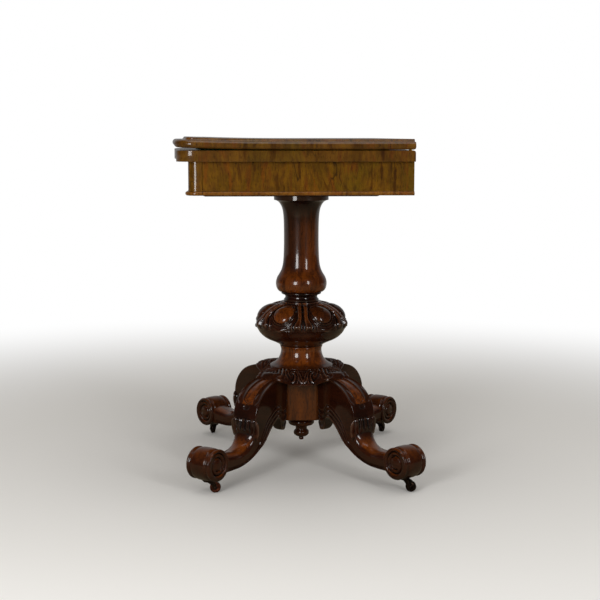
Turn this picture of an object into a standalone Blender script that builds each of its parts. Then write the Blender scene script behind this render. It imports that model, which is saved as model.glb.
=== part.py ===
"""Fold-over card table on a carved pedestal.

Two serpentine leaves lie shut on a shallow carcase. The pair swivels a quarter turn about an off-centre
pivot, then the upper leaf folds over on double-pinned link hinges, and the carcase carries both. A turned
column, a carved bulb, a flared spool and a leafy collar stand on four scroll legs with swivel castors.

Metres, +Z up. The serpentine front faces -Y, the width runs along X, and the origin lies on the floor
under the middle of the table's bounding box. Each piece is modelled about the pedestal's axis first.
"""

import math

import bmesh
import bpy
from mathutils import Matrix, Vector

# Clearances
SEAT_GAP = 0.0003
FIT_GAP = 0.0004
CUT_OVERRUN = 0.003
MERGE_DISTANCE = 0.000001

# Leaves
TOP_WIDTH = 0.914
PLAY_HEIGHT = 0.711
LOWER_THICKNESS = 0.021
UPPER_THICKNESS = 0.020
LEAF_GAP = 0.0015
HINGE_EDGE = 0.198
END_DEPTH = 0.4555
FRONT_BULGE = 0.0225
TROUGH_SHARE = 0.80
LEAF_CORNER = 0.030
NOSE_OVERHANG = 0.004
EDGE_ARRIS = 0.0008
FRONT_STEPS = 8
CORNER_STEPS = 3

# Moulded edge of the upper leaf
NOSE_THICKNESS = 0.0145
LIP_SETBACK = 0.0235
LIP_ROUND = 0.0015
COVE_RISE = 0.0008
LIP_FOOT = 0.0012
NOSE_STEPS = 4

# Cup of the upper leaf, which has warped clear of the lower one towards the front
CUP_LIFT = 0.0055
CUP_START = -0.030
CUP_STEPS = 6

# Cloth lining
BAIZE_BORDER = 0.046
BAIZE_THICKNESS = 0.0009
BAIZE_RECESS = 0.0012
BAIZE_CORNER = 0.010

# Double-pinned link hinges, let into the playing faces at both ends of the back edge
HINGE_RADIUS = 0.0045
HINGE_INSET = 0.052
PLATE_LENGTH = 0.040
PLATE_WIDTH = 0.014
PLATE_THICKNESS = 0.0022
KNUCKLE_DEPTH = 0.0085
KNUCKLE_RADIUS = 0.0042
LINK_THICKNESS = 0.0045
LINK_RADIUS = 0.0030
PIN_RADIUS = 0.0013
PIN_LENGTH = 0.0110
PIN_SIDES = 10

# Carcase
FRIEZE_SIDE_INSET = 0.016
FRIEZE_BACK_INSET = 0.001
FRIEZE_FRONT_INSET = 0.0246
FRIEZE_BULGE = 0.018
FRIEZE_CORNER = 0.018
FRIEZE_HEIGHT = 0.0555
RAIL_THICKNESS = 0.020
WELL_FLOOR_THICKNESS = 0.006
DIVIDER_THICKNESS = 0.016
PIVOT_RAIL_WIDTH = 0.090
PIVOT_RAIL_THICKNESS = 0.028
GLUE_BLOCK_LENGTH = 0.060
GLUE_BLOCK_SIZE = 0.020

# Half-round bead under the frieze
BEAD_HEIGHT = 0.0078
BEAD_PROJECTION = 0.006
BEAD_LAP = 0.012

# Pivot of the top, a quarter turn
PIVOT_PLATE = 0.070
PIVOT_PLATE_THICKNESS = 0.003
PIVOT_RADIUS = 0.008
WASHER_RADIUS = 0.018
WASHER_THICKNESS = 0.002
NUT_RADIUS = 0.014
NUT_THICKNESS = 0.009
PIVOT_SIDES = 18
NUT_SIDES = 6
STOP_RADIUS = 0.004
STOP_CLEARANCE = 0.0047
STOP_DROP = 0.018
STOP_BLOCK = 0.018

# Bearer under the carcase
BEARER_WIDTH = 0.150
BEARER_THICKNESS = 0.0266
BEARER_CHAMFER = 0.008

# Turned and carved stack, from the top down
FLANGE_RADIUS = 0.0612
FLANGE_THICKNESS = 0.0065
COLUMN_RING = 0.0394
TENON_RADIUS = 0.020
BULB_HEIGHT = 0.1006
BULB_RADIUS = 0.1054
BULB_NECK = 0.0456
BULB_NECK_HEIGHT = 0.004
BULB_FOOT_RADIUS = 0.0443
BOSS_SWELL = 0.0035
BOSS_COUNT = 6
SPOOL_HEIGHT = 0.0455
SPOOL_LIFT = 0.008
SPOOL_TOP_RADIUS = 0.0470
SPOOL_RIM = 0.0690
SPOOL_RIM_THICKNESS = 0.003
TURNED_SIDES = 24
FINIAL_SIDES = 12
BULB_SIDES = 36

# Legs
LEG_AZIMUTH = math.radians(38.0)
ARCH_HEIGHT = 0.2145
FOOT_REACH = 0.335
LEG_WIDTH = 0.062
TOP_FILLET = 0.0055
PANEL_SINK = 0.0025
EDGE_ROUND = 0.0012
LOWER_TAPER = 0.004
GROOVE_DEPTH = 0.0022

# Scroll feet
SCROLL_SEAT = 0.0335
SCROLL_RADIUS = 0.035
SCROLL_LENGTH = 0.064
SCROLL_SIDES = 14

# Carved cuff round the knee
CUFF_KNUCKLES = 5
CUFF_HEIGHT = 0.028
CUFF_PROUD = 0.008

# Hub, finial and collar
HUB_HALF_LENGTH = 0.060
WEB_WIDTH = 0.022
HUB_LENGTH = 0.1095
HUB_CHAMFER = 0.002
FINIAL_LENGTH = 0.0576
FINIAL_RADIUS = 0.029
COLLAR_REACH = 0.131
COLLAR_SKIRT = 0.100
COLLAR_FALL = 0.024
COLLAR_BORE = 0.046
COLLAR_SIDES = 40

# Castors
WHEEL_RADIUS = 0.0115
WHEEL_WIDTH = 0.009
WHEEL_SIDES = 14
CASTOR_SIDES = 10
CASTOR_TRAIL = 0.016
CASTOR_HEADROOM = 0.0045
CASTOR_PLATE_RADIUS = 0.011
CASTOR_PLATE_THICKNESS = 0.0018
HORN_HEAD_RADIUS = 0.009
HORN_THICKNESS = 0.0017
CHEEK_THICKNESS = 0.0018
CHEEK_GAP = 0.0005
AXLE_RADIUS = 0.002
PINTLE_RADIUS = 0.003
RIVET_RADIUS = 0.0042

# Outlines as shares of the sizes that they follow
COLUMN_SHARES = (
    (0.862, 0.945), (0.752, 0.888), (0.703, 0.831), (0.655, 0.72), (0.641, 0.55), (0.653, 0.42),
    (0.690, 0.34), (0.800, 0.258), (0.905, 0.212), (0.935, 0.172), (0.895, 0.122), (0.740, 0.086),
    (0.600, 0.050),
)
BULB_SHARES = (
    (0.440, 0.975), (0.635, 0.930), (0.800, 0.838), (0.893, 0.745), (0.945, 0.640), (0.975, 0.520),
    (1.000, 0.430), (0.945, 0.380), (0.893, 0.285), (0.800, 0.193), (0.650, 0.110), (0.500, 0.045),
)
SPOOL_SHARES = (
    (0.665, 0.860), (0.648, 0.620), (0.672, 0.460), (0.735, 0.280), (0.845, 0.140),
)
FINIAL_SHARES = (
    (0.70, 1.000), (0.76, 0.885), (1.00, 0.845), (1.02, 0.740), (0.93, 0.660), (0.52, 0.620), (0.45, 0.530),
    (0.48, 0.460), (0.59, 0.390), (0.60, 0.300), (0.50, 0.210), (0.27, 0.150), (0.16, 0.080), (0.0, 0.0),
)

# Leg sections from the hub out: outer point, inner point, width, roundness of the top, depth of its panel.
# Radii are shares of the run from the hub's face to the scroll's centre, heights of the arch's height.
LEG_SHARES = (
    (0.000, 1.000, 0.000, 0.452, 0.355, 0.0, 0.0),
    (0.028, 0.999, 0.017, 0.410, 0.371, 0.0, 0.0),
    (0.062, 0.997, 0.047, 0.403, 0.420, 0.0, 0.0),
    (0.095, 0.995, 0.080, 0.422, 0.484, 0.0, 0.0),
    (0.136, 0.991, 0.107, 0.480, 0.600, 0.0, 0.4),
    (0.189, 0.983, 0.144, 0.548, 0.770, 0.0, 0.8),
    (0.260, 0.966, 0.204, 0.566, 0.930, 0.0, 1.0),
    (0.346, 0.932, 0.260, 0.529, 0.990, 0.0, 1.0),
    (0.421, 0.879, 0.299, 0.485, 1.000, 0.0, 1.0),
    (0.479, 0.806, 0.325, 0.450, 1.000, 0.0, 1.0),
    (0.514, 0.727, 0.348, 0.415, 1.000, 0.0, 0.5),
    (0.529, 0.653, 0.368, 0.382, 0.985, 0.0, 0.0),
    (0.540, 0.553, 0.408, 0.333, 0.955, 0.2, 0.0),
    (0.548, 0.508, 0.432, 0.308, 0.900, 0.7, 0.0),
    (0.570, 0.441, 0.484, 0.263, 0.860, 1.0, 0.0),
    (0.611, 0.382, 0.555, 0.221, 0.840, 1.0, 0.0),
    (0.675, 0.350, 0.641, 0.191, 0.840, 1.0, 0.0),
    (0.750, 0.343, 0.735, 0.178, 0.855, 1.0, 0.0),
    (0.914, 0.368, 0.914, 0.180, 0.910, 1.0, 0.0),
    (0.966, 0.373, 0.966, 0.177, 0.790, 1.0, 0.0),
)
CUFF_SHARE = 0.553

# Side of a leg, from its top edge down: share of the depth, and 1 where a groove is cut
SIDE_SHARES = ((0.74, 0.0), (0.80, 1.0), (0.86, 0.0))

# Crown of a rounded section as a share of half its width
CROWN_SHARE = 0.55

# Span of the bulb's bosses: where they start and how far they reach, as shares of its height
BOSS_START_SHARE = 0.42
BOSS_SPAN_SHARE = 0.52

# Cuff knuckles: depth and width against their pitch, how far they sink, how much more at the sides
CUFF_DEPTH_SHARE = 1.50
CUFF_WIDTH_SHARE = 1.18
CUFF_SINK_SHARE = 0.35
CUFF_TURN_SHARE = 0.90
CUFF_SPREAD_SHARE = 1.04

# Castor horn: boss round the axle and reach of the shoulder, against the axle and the head
HORN_BOSS_SHARE = 2.10
HORN_REACH_SHARE = 0.70

# Half of a scroll's turned profile: radius as a share of its own, place as a share of half its length
SCROLL_SHARES = (
    (0.300, 0.940), (0.360, 0.890), (0.690, 0.890), (0.760, 1.000), (0.880, 0.990), (0.960, 0.640),
)

# Collar sections: radius between the bore and the edge, height between the drop and the top
COLLAR_TONGUE_SHARES = (
    (0.0, 0.985), (0.27, 0.985), (0.32, 1.050), (0.55, 1.020), (0.80, 0.885), (1.0, 0.590), (0.96, 0.430),
    (0.65, 0.560), (0.26, 0.785), (0.0, 0.785),
)
COLLAR_SKIRT_SHARES = (
    (0.0, 0.985), (0.42, 0.985), (0.45, 0.920), (0.64, 0.730), (0.84, 0.410), (1.0, 0.050), (0.94, 0.0),
    (0.80, 0.120), (0.40, 0.785), (0.0, 0.785),
)
TONGUE_HALF_ANGLE = math.radians(13.0)
SKIRT_HALF_ANGLE = math.radians(25.0)

# Rest headings of the castors, as they stand in view
CASTOR_HEADINGS = {
    "front_right": math.radians(90.0),
    "back_right": math.radians(48.0),
    "front_left": math.radians(195.0),
    "back_left": math.radians(150.0),
}

# Places worked out from the sizes above, from the playing face down and from the floor up
HALF_WIDTH = TOP_WIDTH / 2
LOWER_HALF_WIDTH = HALF_WIDTH - NOSE_OVERHANG
LOWER_BASE = PLAY_HEIGHT - LOWER_THICKNESS
UPPER_BASE = PLAY_HEIGHT + LEAF_GAP
HALF_FRIEZE = HALF_WIDTH - FRIEZE_SIDE_INSET
FRIEZE_BACK = HINGE_EDGE - FRIEZE_BACK_INSET
FRIEZE_END_DEPTH = END_DEPTH - FRIEZE_BACK_INSET - FRIEZE_FRONT_INSET
FRIEZE_TOP = LOWER_BASE - SEAT_GAP
FRIEZE_BASE = LOWER_BASE - SEAT_GAP - FRIEZE_HEIGHT
BEARER_BASE = FRIEZE_BASE - SEAT_GAP - BEARER_THICKNESS
COLUMN_TOP = BEARER_BASE - SEAT_GAP
SPOOL_FOOT = ARCH_HEIGHT + SPOOL_LIFT
BULB_FOOT = SPOOL_FOOT + SPOOL_HEIGHT
COLUMN_FOOT = BULB_FOOT + BULB_HEIGHT
COLLAR_DROP = ARCH_HEIGHT - COLLAR_FALL
HUB_FOOT = ARCH_HEIGHT - HUB_LENGTH
FINIAL_TIP = HUB_FOOT - FINIAL_LENGTH
SCROLL_FLAT = 2 * WHEEL_RADIUS + CASTOR_HEADROOM
SCROLL_HEIGHT = SCROLL_FLAT + SCROLL_SEAT
STOP_REACH = (PIVOT_RAIL_WIDTH / 2 + STOP_RADIUS + STOP_CLEARANCE) * math.sqrt(2)
PIVOT = Vector((HINGE_EDGE / 2, HINGE_EDGE / 2, LOWER_BASE))
LOWER_PIN = Vector((0.0, HINGE_EDGE - HINGE_RADIUS, PLAY_HEIGHT - HINGE_RADIUS))
UPPER_PIN = Vector((0.0, HINGE_EDGE - HINGE_RADIUS, UPPER_BASE + HINGE_RADIUS))
HUB_FACE = (HUB_HALF_LENGTH * math.cos(LEG_AZIMUTH)
            + (HUB_HALF_LENGTH * math.sin(LEG_AZIMUTH) - WEB_WIDTH / 2) * math.tan(LEG_AZIMUTH))
LEG_ROOT = HUB_FACE + SEAT_GAP
LEG_AZIMUTHS = {
    "front_right": -LEG_AZIMUTH,
    "back_right": LEG_AZIMUTH,
    "back_left": math.pi - LEG_AZIMUTH,
    "front_left": math.pi + LEG_AZIMUTH,
}


def make_material(name, colour, roughness, metallic=0.0):
    """Return a Principled material in one colour."""
    material = bpy.data.materials.new(name)
    material.use_nodes = True
    shader = material.node_tree.nodes["Principled BSDF"]
    shader.inputs["Base Color"].default_value = (*colour, 1.0)
    shader.inputs["Roughness"].default_value = roughness
    shader.inputs["Metallic"].default_value = metallic
    material.diffuse_color = (*colour, 1.0)
    return material


def face_outwards(bm):
    """Turn every face of a closed bmesh outwards."""
    bmesh.ops.recalc_face_normals(bm, faces=bm.faces)
    if bm.calc_volume(signed=True) < 0:
        bmesh.ops.reverse_faces(bm, faces=bm.faces)


def finish_object(name, bm, material, parent, smooth_angle=None):
    """Turn a bmesh in pedestal coordinates into an object whose origin is its parent's."""
    face_outwards(bm)
    origin = parent["place"]
    bm.transform(Matrix.Translation(-Vector(origin)))
    mesh = bpy.data.meshes.new(name)
    bm.to_mesh(mesh)
    bm.free()
    mesh.materials.append(material)
    if smooth_angle is not None:
        mesh.shade_smooth()
        mesh.set_sharp_from_angle(angle=smooth_angle)
    piece = bpy.data.objects.new(name, mesh)
    bpy.context.scene.collection.objects.link(piece)
    piece.parent = parent
    return piece


def make_frame(name, place, parent=None):
    """Add an empty that carries one moving body, at a place on its joint's axis."""
    frame = bpy.data.objects.new(name, None)
    frame["place"] = tuple(place)
    frame.empty_display_size = PIVOT_PLATE
    bpy.context.scene.collection.objects.link(frame)
    frame.parent = parent
    frame.location = Vector(place) - (Vector(parent["place"]) if parent else Vector())
    return frame


def boolean(piece, bm, operation):
    """Join the bmesh to the piece or cut it away, then keep only the result."""
    origin = Vector(piece.parent["place"])
    face_outwards(bm)
    bm.transform(Matrix.Translation(-origin))
    mesh = bpy.data.meshes.new("tool")
    bm.to_mesh(mesh)
    bm.free()
    tool = bpy.data.objects.new("tool", mesh)
    bpy.context.scene.collection.objects.link(tool)
    tool.parent = piece.parent
    modifier = piece.modifiers.new(operation.lower(), "BOOLEAN")
    modifier.operation = operation
    modifier.solver = "EXACT"
    modifier.object = tool
    graph = bpy.context.evaluated_depsgraph_get()
    result = bpy.data.meshes.new_from_object(piece.evaluated_get(graph), depsgraph=graph)
    piece.modifiers.clear()
    old = piece.data
    piece.data = result
    result.name = piece.name
    bpy.data.meshes.remove(old)
    bpy.data.objects.remove(tool)
    bpy.data.meshes.remove(mesh)


def loft(rings, closed=False):
    """Skin rings of equal counts into one closed bmesh, capped unless the rings themselves close up."""
    bm = bmesh.new()
    rows = [[bm.verts.new(point) for point in ring] for ring in rings]
    count = len(rows[0])
    pairs = list(zip(rows, rows[1:]))
    if closed:
        pairs.append((rows[-1], rows[0]))
    for lower, upper in pairs:
        for i in range(count):
            j = (i + 1) % count
            bm.faces.new((lower[i], lower[j], upper[j], upper[i]))
    if not closed:
        bm.faces.new(reversed(rows[0]))
        bm.faces.new(rows[-1])
    return bm


def turned(profile, sides, centre=Vector(), phase=0.0):
    """Spin a profile of (radius, height) points about a vertical axis and close its ends."""
    bm = bmesh.new()
    points = [bm.verts.new(Vector((radius, 0.0, height))) for radius, height in profile]
    edges = [bm.edges.new(pair) for pair in zip(points, points[1:])]
    bmesh.ops.rotate(bm, verts=points, cent=Vector(), matrix=Matrix.Rotation(phase, 3, "Z"))
    bmesh.ops.spin(bm, geom=points + edges, cent=Vector(), axis=Vector((0.0, 0.0, 1.0)),
                   angle=math.tau, steps=sides, use_merge=True)
    bmesh.ops.remove_doubles(bm, verts=bm.verts, dist=MERGE_DISTANCE)
    bmesh.ops.translate(bm, verts=bm.verts, vec=centre)
    return bm


def prism(outline, base, top):
    """Extrude a plan outline between two heights."""
    bm = bmesh.new()
    floor = bm.faces.new([bm.verts.new((x, y, base)) for x, y in outline])
    raised = bmesh.ops.extrude_face_region(bm, geom=[floor])
    verts = [item for item in raised["geom"] if isinstance(item, bmesh.types.BMVert)]
    bmesh.ops.translate(bm, verts=verts, vec=Vector((0.0, 0.0, top - base)))
    return bm


def side_prism(outline, start, end):
    """Extrude an outline of (y, z) points along X."""
    bm = bmesh.new()
    face = bm.faces.new([bm.verts.new((start, y, z)) for y, z in outline])
    raised = bmesh.ops.extrude_face_region(bm, geom=[face])
    verts = [item for item in raised["geom"] if isinstance(item, bmesh.types.BMVert)]
    bmesh.ops.translate(bm, verts=verts, vec=Vector((end - start, 0.0, 0.0)))
    return bm


def box(low, high):
    """Make a block between two corners."""
    outline = ((low[0], low[1]), (high[0], low[1]), (high[0], high[1]), (low[0], high[1]))
    return prism(outline, low[2], high[2])


def chamfered(bm, size):
    """Chamfer every edge of a plain solid."""
    bmesh.ops.bevel(bm, geom=list(bm.edges), offset=size, segments=1, affect="EDGES")
    return bm


def arc(centre, radius, start, end, steps):
    """Return the points of an arc, ends included."""
    angles = (start + (end - start) * k / steps for k in range(steps + 1))
    return [(centre[0] + radius * math.cos(a), centre[1] + radius * math.sin(a)) for a in angles]


class Serpentine:
    """Plan of a board with a straight back, square back corners and a serpentine front."""

    def __init__(self, half_width, back, end_depth, bulge, corner):
        self.half_width = half_width
        self.back = back
        self.corner = corner
        end_wave = math.cos(math.pi / TROUGH_SHARE)
        self.swing = bulge / (1 - end_wave)
        self.middle = end_depth + bulge - self.swing

    def front_y(self, x, inset=0.0):
        """Return the front edge's place in depth at one place along the width."""
        share = x / (self.half_width - inset)
        return self.back - self.middle - self.swing * math.cos(math.pi * share / TROUGH_SHARE) + inset

    def corner_centre(self, inset):
        """Return the right front corner's centre and radius."""
        radius = max(self.corner - inset, self.corner / 8)
        x = self.half_width - inset - radius
        return x, self.front_y(x, inset) + radius, radius

    def front_path(self, inset=0.0):
        """Return the front edge with its rounded corners, from left to right."""
        x, y, radius = self.corner_centre(inset)
        end = (self.half_width - inset, self.butt_y())
        left = arc((-x, y), radius, math.pi, 1.5 * math.pi, CORNER_STEPS)
        right = arc((x, y), radius, -0.5 * math.pi, 0.0, CORNER_STEPS)
        places = [x * k / FRONT_STEPS for k in range(1 - FRONT_STEPS, FRONT_STEPS)]
        middle = [(place, self.front_y(place, inset)) for place in places]
        return [(-end[0], end[1]), *left, *middle, *right, end]

    def butt_y(self):
        """Return where the front ends and the straight sides begin, just past the rounded corners."""
        return self.corner_centre(0.0)[1] + self.corner / 2

    def outline(self, inset=0.0, back_inset=0.0):
        """Return the whole plan, counter-clockwise."""
        half = self.half_width - inset
        back = self.back - back_inset
        return [(-half, back), *self.front_path(inset), (half, back)]


def board_rings(plan, steps):
    """Return one ring for each (inset, back inset, height) step of a board's edge."""
    return [[(x, y, z) for x, y in plan.outline(inset, back)] for inset, back, z in steps]


def hinge_inset(height):
    """Return how far the rounded hinge arris stands in, at a height above the playing face."""
    if height >= HINGE_RADIUS:
        return 0.0
    rise = HINGE_RADIUS - height
    return HINGE_RADIUS - math.sqrt(HINGE_RADIUS ** 2 - rise ** 2)


def cup_lift(y):
    """Return how far the upper leaf has risen at one depth: nothing behind, most at the front."""
    front = HINGE_EDGE - END_DEPTH - FRONT_BULGE - NOSE_OVERHANG
    share = max(0.0, (CUP_START - y) / (CUP_START - front))
    return CUP_LIFT * share * share


def cup(bm):
    """Divide a flat board into strips across its depth and raise each line by the cup's lift."""
    front = min(vert.co.y for vert in bm.verts)
    lines = [CUP_START + (front - CUP_START) * k / CUP_STEPS for k in range(CUP_STEPS)]
    for line in lines:
        bmesh.ops.bisect_plane(bm, geom=bm.verts[:] + bm.edges[:] + bm.faces[:], plane_co=(0.0, line, 0.0),
                               plane_no=(0.0, 1.0, 0.0))
    for vert in bm.verts:
        vert.co.z += cup_lift(vert.co.y)
    return bm


def reshape(piece, change):
    """Rework a finished piece's mesh in pedestal coordinates."""
    origin = Vector(piece.parent["place"])
    bm = bmesh.new()
    bm.from_mesh(piece.data)
    bm.transform(Matrix.Translation(origin))
    change(bm)
    bm.transform(Matrix.Translation(-origin))
    bm.to_mesh(piece.data)
    bm.free()


def hinge_plate_outline(clearance=0.0):
    """Return a hinge plate's side: a thin plate behind a deep knuckle rounded about the lower pin."""
    top = PLAY_HEIGHT
    pin_y = LOWER_PIN.y
    pin_z = LOWER_PIN.z
    front = HINGE_EDGE - PLATE_LENGTH - clearance
    deep = top - KNUCKLE_DEPTH - clearance
    root = pin_y - KNUCKLE_RADIUS - clearance
    if clearance:
        past = HINGE_EDGE + CUT_OVERRUN
        above = top + CUT_OVERRUN
        under = top - PLATE_THICKNESS - clearance
        return [(front, above), (front, under), (root, under), (root, deep), (past, deep), (past, above)]
    nose = arc((pin_y, pin_z), KNUCKLE_RADIUS, 0.0, 0.5 * math.pi, CORNER_STEPS)
    return [(front, pin_z + KNUCKLE_RADIUS), (front, top - PLATE_THICKNESS), (root, top - PLATE_THICKNESS),
            (root, deep), (pin_y + KNUCKLE_RADIUS, deep), *nose]


def to_upper(points):
    """Mirror outline points of the lower hinge half into the upper leaf, through the gap's middle."""
    middle = PLAY_HEIGHT + LEAF_GAP / 2
    return [(y, 2 * middle - z) for y, z in points]


def hinge_plate(name, centre, upper, material, parent):
    """Make one brass hinge plate with its slotted, drilled knuckle."""
    flip = to_upper if upper else list
    pin = UPPER_PIN if upper else LOWER_PIN
    half = PLATE_WIDTH / 2
    plate = finish_object(name, side_prism(flip(hinge_plate_outline()), centre - half, centre + half),
                          material, parent)
    slot = LINK_THICKNESS / 2 + FIT_GAP
    reach = LINK_RADIUS + FIT_GAP
    bottom = LOWER_PIN.z - reach
    cut = flip([(LOWER_PIN.y - reach, PLAY_HEIGHT + CUT_OVERRUN), (LOWER_PIN.y - reach, bottom),
                (HINGE_EDGE + CUT_OVERRUN, bottom), (HINGE_EDGE + CUT_OVERRUN, PLAY_HEIGHT + CUT_OVERRUN)])
    boolean(plate, side_prism(cut, centre - slot, centre + slot), "DIFFERENCE")
    hole = arc((pin.y, pin.z), PIN_RADIUS + FIT_GAP, 0.0, math.tau, PIN_SIDES)[:-1]
    length = PIN_LENGTH / 2 + SEAT_GAP
    boolean(plate, side_prism(hole, centre - length, centre + length), "DIFFERENCE")
    return plate


def hinge_link(name, centre, material, parent):
    """Make a link with its two fixed pins."""
    half = LINK_THICKNESS / 2
    middle_y = LOWER_PIN.y
    lower = arc((middle_y, LOWER_PIN.z), LINK_RADIUS, math.pi, math.tau, 2 * CORNER_STEPS)
    upper = arc((middle_y, UPPER_PIN.z), LINK_RADIUS, 0.0, math.pi, 2 * CORNER_STEPS)
    link = finish_object(name, side_prism(lower + upper, centre - half, centre + half), material, parent)
    for pin in (LOWER_PIN, UPPER_PIN):
        outline = arc((pin.y, pin.z), PIN_RADIUS, 0.0, math.tau, PIN_SIDES)[:-1]
        boolean(link, side_prism(outline, centre - PIN_LENGTH / 2, centre + PIN_LENGTH / 2), "UNION")
    return link


def cut_hinge_beds(leaf, upper):
    """Sink the beds of both hinges into a leaf's back corners."""
    flip = to_upper if upper else list
    half = PLATE_WIDTH / 2 + SEAT_GAP
    for side in (-1, 1):
        centre = side * (HALF_WIDTH - HINGE_INSET)
        boolean(leaf, side_prism(flip(hinge_plate_outline(SEAT_GAP)), centre - half, centre + half),
                "DIFFERENCE")


def baize_plan(clearance=0.0):
    """Return the plan of the cloth lining, inside its veneered border."""
    border = BAIZE_BORDER - clearance
    return Serpentine(LOWER_HALF_WIDTH - border, HINGE_EDGE - border, END_DEPTH - 2 * border, FRONT_BULGE,
                      BAIZE_CORNER)


def build_lower_leaf(walnut, baize, iron, parent):
    """Make the lower leaf, its lining and the pivot that hangs from it."""
    plan = Serpentine(LOWER_HALF_WIDTH, HINGE_EDGE, END_DEPTH, FRONT_BULGE, LEAF_CORNER)
    steps = [(EDGE_ARRIS, 0.0, LOWER_BASE), (0.0, 0.0, LOWER_BASE + EDGE_ARRIS)]
    for k in range(CORNER_STEPS):
        rise = HINGE_RADIUS * (1 - math.sin(0.5 * math.pi * k / CORNER_STEPS))
        steps.append((0.0, hinge_inset(rise), PLAY_HEIGHT - rise))
    steps.append((EDGE_ARRIS, HINGE_RADIUS, PLAY_HEIGHT))
    leaf = finish_object("lower_leaf", loft(board_rings(plan, steps)), walnut, parent)
    recess = prism(baize_plan(SEAT_GAP).outline(), PLAY_HEIGHT - BAIZE_RECESS, PLAY_HEIGHT + CUT_OVERRUN)
    boolean(leaf, recess, "DIFFERENCE")
    cut_hinge_beds(leaf, upper=False)
    half = PIVOT_PLATE / 2 + SEAT_GAP
    bed_top = LOWER_BASE + PIVOT_PLATE_THICKNESS + SEAT_GAP
    bed = box((PIVOT.x - half, PIVOT.y - half, LOWER_BASE - CUT_OVERRUN),
              (PIVOT.x + half, PIVOT.y + half, bed_top))
    boolean(leaf, bed, "DIFFERENCE")
    lining_base = PLAY_HEIGHT - BAIZE_RECESS + SEAT_GAP
    finish_object("lower_baize", prism(baize_plan().outline(), lining_base, lining_base + BAIZE_THICKNESS),
                  baize, parent)
    half -= SEAT_GAP
    plate = box((PIVOT.x - half, PIVOT.y - half, LOWER_BASE),
                (PIVOT.x + half, PIVOT.y + half, LOWER_BASE + PIVOT_PLATE_THICKNESS))
    finish_object("pivot_plate", plate, iron, parent)
    centre = Vector((PIVOT.x, PIVOT.y, 0.0))
    washer_top = FRIEZE_TOP - PIVOT_RAIL_THICKNESS - SEAT_GAP
    nut_top = washer_top - WASHER_THICKNESS - SEAT_GAP
    nut_base = nut_top - NUT_THICKNESS
    pin_end = nut_base - PIVOT_RADIUS / 2
    pin = turned(((0.0, LOWER_BASE - SEAT_GAP / 2), (PIVOT_RADIUS, LOWER_BASE - SEAT_GAP / 2),
                  (PIVOT_RADIUS, pin_end), (0.0, pin_end)), PIVOT_SIDES, centre)
    finish_object("pivot_pin", pin, iron, parent)
    bore = PIVOT_RADIUS + FIT_GAP
    washer = ring_solid(bore, WASHER_RADIUS, washer_top - WASHER_THICKNESS, washer_top, PIVOT_SIDES, centre)
    finish_object("pivot_washer", washer, iron, parent)
    nut = ring_solid(bore, NUT_RADIUS, nut_base, nut_top, NUT_SIDES, centre, PIVOT_SIDES)
    finish_object("pivot_nut", nut, iron, parent)
    peg_place = stop_place(-0.25 * math.pi)
    peg_base = LOWER_BASE - STOP_DROP
    peg = turned(((0.0, LOWER_BASE - SEAT_GAP / 2), (STOP_RADIUS, LOWER_BASE - SEAT_GAP / 2),
                  (STOP_RADIUS, peg_base), (0.0, peg_base)), PIN_SIDES, peg_place)
    finish_object("turn_stop_peg", peg, iron, parent)
    return leaf


def stop_place(heading):
    """Return the stop peg's place on its circle about the pivot."""
    return Vector((PIVOT.x + STOP_REACH * math.cos(heading), PIVOT.y + STOP_REACH * math.sin(heading), 0.0))


def ring_solid(bore, radius, base, top, sides, centre, bore_sides=None):
    """Make a flat ring with a round bore and a round or polygonal rim."""
    bore_sides = bore_sides or sides
    steps = max(sides, bore_sides)
    rings = []
    for k in range(steps):
        angle = math.tau * k / steps
        half = math.pi / sides
        local = (angle % (2 * half)) - half
        rim = radius * math.cos(half) / math.cos(local)
        direction = Vector((math.cos(angle), math.sin(angle), 0.0))
        rings.append([centre + direction * r + Vector((0.0, 0.0, z))
                      for r, z in ((bore, base), (rim, base), (rim, top), (bore, top))])
    return loft(rings, closed=True)


def build_upper_leaf(walnut, baize, parent):
    """Make the upper leaf, with its thumb-moulded edge and its cup, and the lining under it."""
    plan = Serpentine(HALF_WIDTH, HINGE_EDGE, END_DEPTH + NOSE_OVERHANG, FRONT_BULGE,
                      LEAF_CORNER + NOSE_OVERHANG)
    nose = NOSE_THICKNESS / 2
    edge = [(nose * (1 - math.cos(a)), nose * (1 + math.sin(a)))
            for a in (math.pi * (k / NOSE_STEPS - 0.5) for k in range(NOSE_STEPS + 1))]
    edge += [(LIP_SETBACK - LIP_ROUND, NOSE_THICKNESS + COVE_RISE),
             (LIP_SETBACK, NOSE_THICKNESS + COVE_RISE + LIP_FOOT),
             (LIP_SETBACK, UPPER_THICKNESS - LIP_ROUND),
             (LIP_SETBACK + LIP_ROUND, UPPER_THICKNESS)]
    steps = [(inset, hinge_inset(height), UPPER_BASE + height) for inset, height in edge]
    leaf = finish_object("upper_leaf", loft(board_rings(plan, steps)), walnut, parent,
                         smooth_angle=math.radians(40))
    recess = prism(baize_plan(SEAT_GAP).outline(), UPPER_BASE - CUT_OVERRUN, UPPER_BASE + BAIZE_RECESS)
    boolean(leaf, recess, "DIFFERENCE")
    cut_hinge_beds(leaf, upper=True)
    reshape(leaf, cup)
    lining_top = UPPER_BASE + BAIZE_RECESS - SEAT_GAP
    lining = prism(baize_plan().outline(), lining_top - BAIZE_THICKNESS, lining_top)
    finish_object("upper_baize", cup(lining), baize, parent)
    return leaf


def build_hinges(brass, lower, links, upper):
    """Make the pair of link hinges at the ends of the hinge edge."""
    for side, label in ((-1, "left"), (1, "right")):
        centre = side * (HALF_WIDTH - HINGE_INSET)
        hinge_plate(f"hinge_plate_lower_{label}", centre, False, brass, lower)
        hinge_plate(f"hinge_plate_upper_{label}", centre, True, brass, upper)
        hinge_link(f"hinge_link_{label}", centre, brass, links)


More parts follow.
